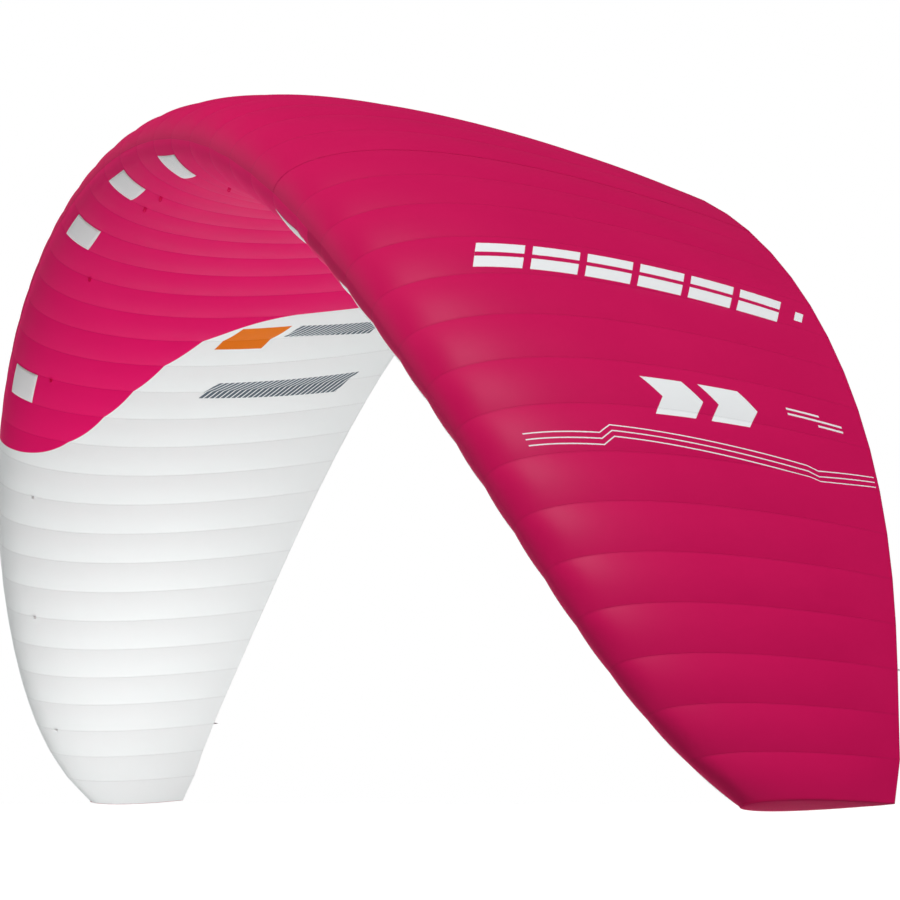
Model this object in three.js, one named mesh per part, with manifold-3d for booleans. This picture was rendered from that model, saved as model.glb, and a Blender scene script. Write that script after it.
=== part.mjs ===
// Kitesurf foil kite: a closed-cell canopy that the wind inflates.
// Two skins are held apart by ribs. Air comes in through five meshed intakes behind the nose, past
// one-way valve flaps, and leaves through a zip at the trailing edge. Both tip corners fold in as brakes.
// Millimetres, +Z up, span along X, leading edge towards -Y, left half on +X.
// The origin is where the bridle pulls: the lower skin at the first tab row, in the middle of the span.

import * as THREE from 'three';
import { mergeVertices } from 'three/addons/utils/BufferGeometryUtils.js';
import Module from 'manifold-3d';

const wasm = await Module();
wasm.setup();

// Plan and arc
const ROOT_CHORD = 1535;
const TIP_CHORD = 400;
const HALF_SPAN = 3545; // centre to tip along the arc
const ARC_TURN = 78; // degrees the arc would turn by the tip, bent evenly
const ARC_EASE = 7; // degrees less, taken off near the tip
const PLAN_ROUNDNESS = 2.7; // higher keeps the chord long further out
const PLAN_TAPER = 0.8; // lower rounds the tips off later
const SWEEP = 590; // how far the nose falls back by the tip
const TIP_SWEEP = 130; // extra on the last cells alone
const TIP_SWEEP_POWER = 20;
const WASHOUT = 2; // degrees the tips turn nose-down

// Section
const SECTION_THICKNESS = 0.21; // share of the chord
const TRAILING_HALF = 2.5; // half the trailing edge's thickness

// Cells
const CELLS = 47;
const TIP_CELL_RATIO = 0.58; // tip cell's width over the middle cell's
const SKIN_SPLIT = 8.5; // cells from the middle to the joins between the skin panels
const LOADED_RIBS = [1, 5, 9, 13, 17, 21]; // ribs that carry bridle tabs, counted from the middle

// Cloth and gaps
const SKIN = 1.5;
const RIB_CLOTH = 1.5;
const RIB_GAP = 0.8;
const PANEL_GAP = 0.8; // between two skin panels
const NOSE_GAP = 0.0012; // half the nose seam's gap, as a place on the section
const TIP_PANEL_GAP = 0.5;

// Ports in the ribs, and the straps through them
const PORTS = [0.15, 0.33, 0.55]; // share of the chord
const PORT_RADIUS = 0.3; // share of the section's height there
const PORT_SIDES = 8;
const STRAP_PORTS = [0.33, 0.55];
const STRAP_WIDTH = 20;
const STRAP_THICKNESS = 1;
const STRAP_END = 0.1; // cells past the outermost loaded rib

// Intakes and their valve flaps
const INTAKE_CELLS = [-9, -3, 0, 3, 9];
const INTAKE_FRONT = 0.1; // places on the section, as the lists of places below
const INTAKE_MIDDLE = 0.17;
const INTAKE_REAR = 0.24;
const INTAKE_MARGIN = 10; // from each rib to the opening
const INTAKE_CUT_REACH = 6 * SKIN; // how far the cutter stands off both faces of the skin
const MESH_GAP = 0.5;
const VALVE_OVERLAP = 8; // past the opening's front and rear
const VALVE_SIDE_MARGIN = 7; // from each rib
const VALVE_LIFT = 3; // off the skin
const VALVE_CLOTH = 1.2;

// Tabs
const TAB_PLACE = -0.3;
const TAB_WIDTH = 10;
const TAB_LENGTH = 17;
const TAB_CLOTH = 1.2;
const TAB_EYE_RADIUS = 1.7;
const TAB_EYE_SIDES = 6;
const TAB_GAP = 0.4;
const BRAKE_TAB_RIB = 21;

// Brake corners
const BRAKE_ROOT_CELL = 15; // where the fold meets the trailing edge, in cells from the middle
const BRAKE_TIP_CHORD = 0.5; // where it meets the tip, as a share of the chord
const BRAKE_GAP = 1.6;
const BRAKE_AXIS_DROP = 3; // hinge line under the lower skin
const CUT_SIZE = 6000; // of the block that cuts along the fold, larger than half the kite

// Zip
const ZIP_LENGTH = 520;
const ZIP_WIDTH = 6;
const ZIP_THICKNESS = 3;
const ZIP_SEGMENTS = 14;
const SLIDER_LENGTH = 16;
const SLIDER_WALL = 1.6;
const SLIDER_CLEARANCE = 0.6;
const PULL_LENGTH = 30;

// Places on the section run from -1 (trailing edge, lower skin) through 0 (nose) to 1 (upper skin)
const UPPER_PLACES = [NOSE_GAP, 0.1, 0.2, 0.3, 0.42, 0.56, 0.7, 0.82, 0.92, 1];
const LOWER_PLACES = [-NOSE_GAP, -INTAKE_FRONT, -INTAKE_MIDDLE, -INTAKE_REAR,
  -0.35, -0.5, -0.66, -0.8, -0.91, -1];
const RIB_PLACES = [...LOWER_PLACES.slice(1, -1).toReversed(), 0, ...UPPER_PLACES.slice(1, -1)];

const HALF_CELLS = CELLS / 2;
const ARC_STEPS = 96;
const LEFT = 1;
const RIGHT = -1;

const radians = THREE.MathUtils.degToRad;

// ---------------------------------------------------------------- canopy shape

// Share of the half span at a number of cells from the middle; cells narrow towards the tip.
function spanShare(cell) {
  const reach = (n) => n - (1 - TIP_CELL_RATIO) * n ** 3 / (3 * HALF_CELLS ** 2);
  return reach(Math.abs(cell)) / reach(HALF_CELLS);
}

function arcSlope(share) {
  return radians(ARC_TURN * share - ARC_EASE * share ** 3);
}

// Place on the arc in the X-Z plane, by adding up short chords.
function arcPoint(share) {
  const point = new THREE.Vector2();
  const step = HALF_SPAN * share / ARC_STEPS;
  for (let i = 0; i < ARC_STEPS; i++) {
    const slope = arcSlope(share * (i + 0.5) / ARC_STEPS);
    point.x += step * Math.cos(slope);
    point.y -= step * Math.sin(slope);
  }
  return point;
}

function chordAt(share) {
  return TIP_CHORD + (ROOT_CHORD - TIP_CHORD) * (1 - share ** PLAN_ROUNDNESS) ** PLAN_TAPER;
}

function noseAt(share) {
  return SWEEP * share ** 3 + TIP_SWEEP * share ** TIP_SWEEP_POWER;
}

// Matrix from a section's own plane (x aft along the chord, y away from the arc's inside) to the canopy.
function stationMatrix(cell) {
  const side = Math.sign(cell);
  const share = spanShare(cell);
  const slope = side * arcSlope(share);
  const turn = -radians(WASHOUT) * share;
  const arc = arcPoint(share);
  const aft = new THREE.Vector3(-Math.sin(turn) * Math.sin(slope), Math.cos(turn),
    -Math.sin(turn) * Math.cos(slope));
  const out = new THREE.Vector3(Math.cos(turn) * Math.sin(slope), Math.sin(turn),
    Math.cos(turn) * Math.cos(slope));
  const across = new THREE.Vector3().crossVectors(aft, out);
  const matrix = new THREE.Matrix4().makeBasis(aft, out, across);
  return matrix.setPosition(side * arc.x, noseAt(share), arc.y);
}

function halfThickness(x, chord) {
  const shape = 0.2969 * Math.sqrt(x) - 0.126 * x - 0.3516 * x ** 2 + 0.2843 * x ** 3 - 0.1036 * x ** 4;
  return 5 * SECTION_THICKNESS * chord * shape + TRAILING_HALF * x;
}

// Section outline at a place, on the outside of the cloth.
function outline(chord, place) {
  const x = place ** 2;
  return new THREE.Vector2(x * chord, Math.sign(place) * halfThickness(x, chord));
}

function outlineTangent(chord, place) {
  const step = 0.001;
  return outline(chord, place + step).sub(outline(chord, place - step)).normalize();
}

// Section outline moved in by a depth of cloth.
function outlineAt(chord, place, depth) {
  const tangent = outlineTangent(chord, place);
  const inward = new THREE.Vector2(tangent.y, -tangent.x);
  return outline(chord, place).addScaledVector(inward, depth);
}

function ribPoint(cell, place, depth) {
  const flat = outlineAt(chordAt(spanShare(cell)), place, depth);
  return new THREE.Vector3(flat.x, flat.y, 0).applyMatrix4(stationMatrix(cell));
}

// Point on the skin, which runs straight from rib to rib.
function skinPoint(cell, place, depth = 0) {
  const outermost = HALF_CELLS - 1;
  const before = THREE.MathUtils.clamp(Math.floor(cell + 0.5) - 0.5, -HALF_CELLS, outermost);
  const start = ribPoint(before, place, depth);
  const end = ribPoint(before + 1, place, depth);
  return start.lerp(end, cell - before);
}

function cellWidth(cell) {
  return skinPoint(cell - 0.5, 0).distanceTo(skinPoint(cell + 0.5, 0));
}

const ORIGIN = skinPoint(0, TAB_PLACE);

// ---------------------------------------------------------------- solids

function signedVolume(geometry) {
  const points = geometry.attributes.position;
  const corners = [new THREE.Vector3(), new THREE.Vector3(), new THREE.Vector3()];
  let volume = 0;
  for (let i = 0; i < geometry.index.count; i += 3) {
    corners.forEach((corner, k) => corner.fromBufferAttribute(points, geometry.index.getX(i + k)));
    volume += corners[0].dot(corners[1].clone().cross(corners[2])) / 6;
  }
  return volume;
}

// Closed body between two grids of points with the same rows and columns.
function closedGrid(outer, inner) {
  const rows = outer.length;
  const columns = outer[0].length;
  const points = [...outer.flat(), ...inner.flat()];
  const at = (layer, row, column) => (layer * rows + row) * columns + column;
  const triangles = [];
  const quad = (a, b, c, d) => triangles.push([a, b, c], [a, c, d]);
  for (let r = 0; r < rows - 1; r++) {
    for (let c = 0; c < columns - 1; c++) {
      quad(at(0, r, c), at(0, r + 1, c), at(0, r + 1, c + 1), at(0, r, c + 1));
      quad(at(1, r, c), at(1, r, c + 1), at(1, r + 1, c + 1), at(1, r + 1, c));
    }
    quad(at(0, r, 0), at(1, r, 0), at(1, r + 1, 0), at(0, r + 1, 0));
    quad(at(0, r + 1, columns - 1), at(1, r + 1, columns - 1), at(1, r, columns - 1), at(0, r, columns - 1));
  }
  for (let c = 0; c < columns - 1; c++) {
    quad(at(0, 0, c + 1), at(1, 0, c + 1), at(1, 0, c), at(0, 0, c));
    quad(at(0, rows - 1, c), at(1, rows - 1, c), at(1, rows - 1, c + 1), at(0, rows - 1, c + 1));
  }
  const geometry = new THREE.BufferGeometry().setFromPoints(points);
  geometry.setIndex(triangles.flat());
  if (signedVolume(geometry) < 0) {
    geometry.setIndex(triangles.map(([a, b, c]) => [a, c, b]).flat());
  }
  return geometry;
}

// Piece of cloth that follows the skin between two depths.
function patch(cells, places, outerDepth, innerDepth) {
  const grid = (depth) => cells.map((cell) => places.map((place) => skinPoint(cell, place, depth)));
  return closedGrid(grid(outerDepth), grid(innerDepth));
}

function toManifold(geometry) {
  const bare = geometry.clone();
  bare.deleteAttribute('normal');
  bare.deleteAttribute('uv');
  const merged = mergeVertices(bare);
  return new wasm.Manifold(new wasm.Mesh({
    numProp: 3,
    vertProperties: new Float32Array(merged.attributes.position.array),
    triVerts: new Uint32Array(merged.index.array),
  }));
}

function toGeometry(solid) {
  const mesh = solid.getMesh();
  const geometry = new THREE.BufferGeometry();
  geometry.setAttribute('position', new THREE.BufferAttribute(new Float32Array(mesh.vertProperties), 3));
  geometry.setIndex(new THREE.BufferAttribute(new Uint32Array(mesh.triVerts), 1));
  return geometry;
}

function cutAway(geometry, cutters) {
  const solid = cutters.reduce((rest, cutter) => rest.subtract(toManifold(cutter)), toManifold(geometry));
  return toGeometry(solid);
}

function flatPlate(outlinePoints, holes, thickness) {
  const shape = new THREE.Shape(outlinePoints);
  shape.holes = holes.map((hole) => new THREE.Path(hole));
  const plate = new THREE.ExtrudeGeometry(shape, { depth: thickness, bevelEnabled: false });
  return plate.translate(0, 0, -thickness / 2);
}

function circlePoints(x, y, radius, sides) {
  const points = [];
  for (let i = 0; i < sides; i++) {
    const angle = 2 * Math.PI * (i + 0.5) / sides;
    points.push(new THREE.Vector2(x + radius * Math.cos(angle), y + radius * Math.sin(angle)));
  }
  return points;
}

// ---------------------------------------------------------------- scene helpers

const kite = new THREE.Group();
const canopy = new THREE.Group();
canopy.position.copy(ORIGIN).negate();
kite.add(canopy);

const cloth = {
  upper: { color: 0xc2185a, roughness: 0.55, metalness: 0 },
  lowerMiddle: { color: 0xcf115f, roughness: 0.55, metalness: 0 },
  lowerTip: { color: 0xf3f5f5, roughness: 0.6, metalness: 0 },
  rib: { color: 0xe9eaec, roughness: 0.7, metalness: 0 },
  mesh: { color: 0xf4f4f4, roughness: 0.8, metalness: 0 },
  valve: { color: 0xdfe1e4, roughness: 0.6, metalness: 0 },
  webbing: { color: 0xeceded, roughness: 0.8, metalness: 0 },
  pinkWebbing: { color: 0xcf115f, roughness: 0.8, metalness: 0 },
  zip: { color: 0x303034, roughness: 0.6, metalness: 0 },
  slider: { color: 0x8c8f94, roughness: 0.35, metalness: 0.9 },
};

function addMesh(parent, name, geometry, finish) {
  const mesh = new THREE.Mesh(geometry, new THREE.MeshStandardMaterial(finish));
  mesh.name = name;
  parent.add(mesh);
  return mesh;
}

function sideName(side) {
  return side === LEFT ? 'left' : 'right';
}

function twoDigits(number) {
  return String(number).padStart(2, '0');
}

// ---------------------------------------------------------------- brake fold

// The fold runs straight under the lower skin, from the trailing edge forward to the tip.
function brakeFold(side) {
  const inner = skinPoint(side * BRAKE_ROOT_CELL, -1);
  const outer = skinPoint(side * HALF_CELLS, -Math.sqrt(BRAKE_TIP_CHORD));
  const middle = side * (BRAKE_ROOT_CELL + HALF_CELLS) / 2;
  const out = new THREE.Vector3().setFromMatrixColumn(stationMatrix(middle), 1);
  const along = outer.clone().sub(inner).normalize();
  const aft = out.clone().cross(along).multiplyScalar(side).normalize();
  inner.addScaledVector(out, -BRAKE_AXIS_DROP);
  outer.addScaledVector(out, -BRAKE_AXIS_DROP);
  return { inner, outer, along, aft };
}

// Block that fills everything on one side of the fold: ahead of it with -1, behind it with 1.
function foldBlock(fold, direction) {
  const up = new THREE.Vector3().crossVectors(fold.along, fold.aft);
  const basis = new THREE.Matrix4().makeBasis(fold.along, fold.aft, up);
  const shift = direction * (CUT_SIZE / 2 - BRAKE_GAP / 2);
  const centre = fold.inner.clone().addScaledVector(fold.aft, shift);
  const block = new THREE.BoxGeometry(CUT_SIZE, CUT_SIZE, CUT_SIZE);
  return block.applyMatrix4(basis.setPosition(centre));
}

function aheadOfFold(geometry, side) {
  return cutAway(geometry, [foldBlock(brakeFold(side), 1)]);
}

function behindFold(geometry, side) {
  return cutAway(geometry, [foldBlock(brakeFold(side), -1)]);
}

// ---------------------------------------------------------------- skins

// Rib places of a panel between two joins, pulled in at its ends to leave the join's gap.
function panelCells(from, to) {
  const cells = [];
  for (let cell = from; cell <= to; cell++) {
    cells.push(cell);
  }
  const middleOfFirst = from + 0.5;
  const middleOfLast = to - 0.5;
  cells[0] = from + PANEL_GAP / 2 / cellWidth(middleOfFirst);
  cells[cells.length - 1] = to - PANEL_GAP / 2 / cellWidth(middleOfLast);
  return cells;
}

function intakeCutter(cell) {
  const edge = 0.5 - INTAKE_MARGIN / cellWidth(cell);
  const places = [-INTAKE_FRONT, -INTAKE_MIDDLE, -INTAKE_REAR];
  return patch([cell - edge, cell + edge], places, -INTAKE_CUT_REACH, INTAKE_CUT_REACH);
}

function skinPanel(from, to, places) {
  return patch(panelCells(from, to), places, 0, SKIN);
}

function lowerPanel(from, to) {
  const intakes = INTAKE_CELLS.filter((cell) => cell > from && cell < to);
  return cutAway(skinPanel(from, to, LOWER_PLACES), intakes.map(intakeCutter));
}

function addMiddleSkins() {
  addMesh(canopy, 'upper_skin_middle', skinPanel(-SKIN_SPLIT, SKIN_SPLIT, UPPER_PLACES), cloth.upper);
  addMesh(canopy, 'lower_skin_middle', lowerPanel(-SKIN_SPLIT, SKIN_SPLIT), cloth.lowerMiddle);
}

function addSideSkins(side) {
  const name = sideName(side);
  const from = side === LEFT ? SKIN_SPLIT : -HALF_CELLS;
  const to = side === LEFT ? HALF_CELLS : -SKIN_SPLIT;
  const upper = skinPanel(from, to, UPPER_PLACES);
  const lower = lowerPanel(from, to);
  addMesh(canopy, `upper_skin_${name}`, aheadOfFold(upper, side), cloth.upper);
  addMesh(canopy, `lower_skin_${name}`, aheadOfFold(lower, side), cloth.lowerTip);
  addMesh(canopy, `brake_corner_upper_${name}`, behindFold(upper, side), cloth.upper);
  addMesh(canopy, `brake_corner_lower_${name}`, behindFold(lower, side), cloth.lowerTip);
}

// ---------------------------------------------------------------- ribs, tip panels, tabs

function ribOutline(cell, places, depth) {
  const chord = chordAt(spanShare(cell));
  return places.map((place) => outlineAt(chord, place, depth));
}

function ribPlate(cell) {
  const chord = chordAt(spanShare(cell));
  const ports = PORTS.map((x) => circlePoints(
    x * chord, 0, PORT_RADIUS * 2 * halfThickness(x, chord), PORT_SIDES));
  return flatPlate(ribOutline(cell, RIB_PLACES, SKIN + RIB_GAP), ports, RIB_CLOTH);
}

function tipPlate() {
  const places = [...LOWER_PLACES.toReversed(), ...UPPER_PLACES];
  return flatPlate(ribOutline(HALF_CELLS, places, 0), [], RIB_CLOTH);
}

// Webbing tab with its eye, standing out of the skin along +y.
function tabPlate() {
  const half = TAB_WIDTH / 2;
  const corner = half / 2;
  const points = [
    [-half, 0], [half, 0], [half, TAB_LENGTH - corner], [half - corner, TAB_LENGTH],
    [corner - half, TAB_LENGTH], [-half, TAB_LENGTH - corner],
  ].map(([x, y]) => new THREE.Vector2(x, y));
  const eye = circlePoints(0, TAB_LENGTH - half, TAB_EYE_RADIUS, TAB_EYE_SIDES);
  return flatPlate(points, [eye], TAB_CLOTH);
}

function stationGroup(cell) {
  const group = new THREE.Group();
  group.applyMatrix4(stationMatrix(cell));
  canopy.add(group);
  return group;
}

// A tab that stands out of the section in a direction, from just off its root there. It matches its panel.
function addTab(name, cell, root, direction) {
  const finish = Math.abs(cell) > SKIN_SPLIT ? cloth.webbing : cloth.pinkWebbing;
  const tab = addMesh(stationGroup(cell), name, tabPlate(), finish);
  const foot = root.clone().addScaledVector(direction, TAB_GAP);
  tab.position.set(foot.x, foot.y, 0);
  tab.rotation.z = Math.atan2(direction.y, direction.x) - Math.PI / 2;
}

function addLoadedRib(side, number) {
  const cell = side * (number - 0.5);
  const chord = chordAt(spanShare(cell));
  const label = `${twoDigits(number)}_${sideName(side)}`;
  const plate = ribPlate(cell);
  if (number < BRAKE_TAB_RIB) {
    addMesh(stationGroup(cell), `rib_${label}`, plate, cloth.rib);
  } else {
    plate.applyMatrix4(stationMatrix(cell));
    addMesh(canopy, `rib_${label}`, aheadOfFold(plate, side), cloth.rib);
    addMesh(canopy, `rib_tail_${label}`, behindFold(plate, side), cloth.rib);
  }
  const tangent = outlineTangent(chord, TAB_PLACE);
  addTab(`bridle_tab_${label}`, cell, outline(chord, TAB_PLACE), new THREE.Vector2(-tangent.y, tangent.x));
}

function addBrakeTab(side) {
  const cell = side * (BRAKE_TAB_RIB - 0.5);
  const tail = new THREE.Vector2(chordAt(spanShare(cell)), 0);
  addTab(`brake_tab_${sideName(side)}`, cell, tail, new THREE.Vector2(1, 0));
}

function addTipPanel(side) {
  const plate = tipPlate();
  plate.translate(0, 0, side * (RIB_CLOTH / 2 + TIP_PANEL_GAP));
  plate.applyMatrix4(stationMatrix(side * HALF_CELLS));
  addMesh(canopy, `tip_panel_${sideName(side)}`, aheadOfFold(plate, side), cloth.upper);
  addMesh(canopy, `tip_panel_tail_${sideName(side)}`, behindFold(plate, side), cloth.upper);
}

// ---------------------------------------------------------------- straps

// Strap from rib to rib through one row of ports, tip to tip.
function addStrap(name, share) {
  const oneSide = LOADED_RIBS.map((number) => number - 0.5);
  oneSide.push(oneSide.pop() + STRAP_END);
  const cells = [...oneSide.map((cell) => -cell).reverse(), ...oneSide];
  const edge = (cell, x, y) => {
    const chord = chordAt(spanShare(cell));
    return new THREE.Vector3(share * chord + x, y, 0).applyMatrix4(stationMatrix(cell));
  };
  const row = (y) => cells.map((cell) => [
    edge(cell, -STRAP_WIDTH / 2, y),
    edge(cell, STRAP_WIDTH / 2, y),
  ]);
  addMesh(canopy, name, closedGrid(row(STRAP_THICKNESS / 2), row(-STRAP_THICKNESS / 2)), cloth.webbing);
}

// ---------------------------------------------------------------- intakes

function intakeName(cell) {
  if (cell === 0) {
    return 'middle';
  }
  return `${twoDigits(Math.abs(cell))}_${sideName(Math.sign(cell))}`;
}

// Place on the section reached from another by a distance along the lower skin.
function placeAlong(cell, place, distance) {
  const step = 0.01;
  const speed = skinPoint(cell, place).distanceTo(skinPoint(cell, place + step)) / step;
  return place + distance / speed;
}

function addIntake(cell) {
  const width = cellWidth(cell);
  const meshEdge = 0.5 - (INTAKE_MARGIN + MESH_GAP) / width;
  const front = placeAlong(cell, -INTAKE_FRONT, -MESH_GAP);
  const rear = placeAlong(cell, -INTAKE_REAR, MESH_GAP);
  const mesh = patch([cell - meshEdge, cell + meshEdge], [front, -INTAKE_MIDDLE, rear], 0, SKIN);
  addMesh(canopy, `intake_mesh_${intakeName(cell)}`, mesh, cloth.mesh);

  const flapEdge = 0.5 - VALVE_SIDE_MARGIN / width;
  const flapFront = placeAlong(cell, -INTAKE_FRONT, VALVE_OVERLAP);
  const flapRear = placeAlong(cell, -INTAKE_REAR, -VALVE_OVERLAP);
  const bottom = SKIN + VALVE_LIFT;
  const flapCells = [cell - flapEdge, cell + flapEdge];
  const flap = patch(flapCells, [flapFront, -INTAKE_MIDDLE, flapRear], bottom, bottom + VALVE_CLOTH);
  addMesh(canopy, `valve_flap_${intakeName(cell)}`, flap, cloth.valve);
}

// ---------------------------------------------------------------- zip

// The zip follows the arc's true circle at the middle of the trailing edge.
function addZip() {
  const radius = HALF_SPAN / radians(ARC_TURN);
  const halfAngle = ZIP_LENGTH / 2 / radius;
  const front = ROOT_CHORD + PANEL_GAP;
  const rear = front + ZIP_WIDTH;
  const onArc = (angle, y, rise) => new THREE.Vector3(
    (radius + rise) * Math.sin(angle), y, (radius + rise) * Math.cos(angle) - radius);
  const row = (rise) => Array.from({ length: ZIP_SEGMENTS + 1 }, (_, i) => {
    const angle = halfAngle * (2 * i / ZIP_SEGMENTS - 1);
    return [onArc(angle, front, rise), onArc(angle, rear, rise)];
  });
  addMesh(canopy, 'deflate_zip', closedGrid(row(ZIP_THICKNESS / 2), row(-ZIP_THICKNESS / 2)), cloth.zip);
  addSlider(onArc, halfAngle - SLIDER_LENGTH / 2 / radius, front, rear);
}

// Slider round the zip's rear edge, with its pull, parked at the left end.
function addSlider(onArc, angle, front, rear) {
  const mouth = front + SLIDER_CLEARANCE;
  const floor = rear + SLIDER_CLEARANCE;
  const back = floor + SLIDER_WALL;
  const inside = ZIP_THICKNESS / 2 + SLIDER_CLEARANCE;
  const outside = inside + SLIDER_WALL;
  const profile = [
    [mouth, -outside], [back, -outside], [back, -SLIDER_WALL / 2], [back + PULL_LENGTH, -SLIDER_WALL / 2],
    [back + PULL_LENGTH, SLIDER_WALL / 2], [back, SLIDER_WALL / 2], [back, outside], [mouth, outside],
    [mouth, inside], [floor, inside], [floor, -inside], [mouth, -inside],
  ].map(([y, z]) => new THREE.Vector2(y, z));
  const slider = addMesh(canopy, 'zip_slider', flatPlate(profile, [], SLIDER_LENGTH), cloth.slider);
  const turned = new THREE.Matrix4().makeBasis(
    new THREE.Vector3(0, 1, 0), new THREE.Vector3(Math.sin(angle), 0, Math.cos(angle)),
    new THREE.Vector3(Math.cos(angle), 0, -Math.sin(angle)));
  slider.applyMatrix4(turned.setPosition(onArc(angle, 0, 0)));
}

// ---------------------------------------------------------------- assembly

addMiddleSkins();
for (const side of [LEFT, RIGHT]) {
  addSideSkins(side);
  LOADED_RIBS.forEach((number) => addLoadedRib(side, number));
  addTipPanel(side);
  addBrakeTab(side);
}
addStrap('span_strap_front', STRAP_PORTS[0]);
addStrap('span_strap_rear', STRAP_PORTS[1]);
INTAKE_CELLS.forEach(addIntake);
addZip();

export default kite;
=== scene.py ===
"""Looks of a closed-cell foil kite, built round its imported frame.

The two skins billow out between forty-six ribs and are sewn down at each of them, and a panel closes
each tip. Meshed intakes sit behind the nose, with valve flaps inside. Bridle tabs, span straps, hems
and a zip at the trailing edge complete the canopy. Lengths are in metres and angles in degrees unless said.

A place runs along a section: -1 is the trailing edge on the lower skin, 0 the nose and 1 the trailing
edge on the upper skin, and its square is the share of the chord. A cell number counts cells from the
middle of the span, positive to the left, so the ribs stand at the halves.
"""

import sys
import logging
import math
from dataclasses import dataclass
from enum import Enum
from typing import Callable, Iterable, Optional, Sequence, Union

import bmesh
import bpy
import numpy as np
from mathutils import Matrix, Vector


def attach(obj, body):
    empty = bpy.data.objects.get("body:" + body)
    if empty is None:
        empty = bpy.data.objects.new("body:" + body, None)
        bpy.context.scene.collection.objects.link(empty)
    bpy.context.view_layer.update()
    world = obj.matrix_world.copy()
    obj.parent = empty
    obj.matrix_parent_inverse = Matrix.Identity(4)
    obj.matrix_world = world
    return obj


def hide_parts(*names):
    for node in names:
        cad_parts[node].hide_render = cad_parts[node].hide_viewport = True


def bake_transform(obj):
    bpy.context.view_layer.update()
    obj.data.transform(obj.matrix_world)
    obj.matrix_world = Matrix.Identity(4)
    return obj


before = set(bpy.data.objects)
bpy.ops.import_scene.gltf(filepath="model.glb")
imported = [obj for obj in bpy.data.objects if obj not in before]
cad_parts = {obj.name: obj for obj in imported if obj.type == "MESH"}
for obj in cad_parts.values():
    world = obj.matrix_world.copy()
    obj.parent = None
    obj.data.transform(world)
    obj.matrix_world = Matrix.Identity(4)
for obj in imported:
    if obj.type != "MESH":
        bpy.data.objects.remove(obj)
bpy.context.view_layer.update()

log = logging.getLogger("kite")
CANOPY = "canopy"
CELL_MAP = "cells"
CLOTH_MAP = "cloth"

Colour = tuple[float, float, float]
Socket = bpy.types.NodeSocket
Feed = Union[bpy.types.NodeSocket, float, tuple[float, ...], None]

WHITE_CLOTH: Colour = (0.89, 0.93, 0.925)
CELL_EDGE = 0.01  # half the width of a printed edge, in cells
SHARE_EDGE = 0.001  # half the width of a printed edge, as a share of the chord
SAME_PLACE = 1e-6  # points closer than this are one point


class Side(Enum):
    """Half of the kite, as a sign along the span."""

    LEFT = 1
    RIGHT = -1

    @property
    def label(self) -> str:
        """Word used in the names of bodies and pieces."""
        return self.name.lower()


class Face(Enum):
    """Skin of the canopy, as a sign of its places."""

    UPPER = 1
    LOWER = -1

    @property
    def label(self) -> str:
        """Word used in the names of nodes and pieces."""
        return self.name.lower()


# ---------------------------------------------------------------- shape of the canopy


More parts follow.
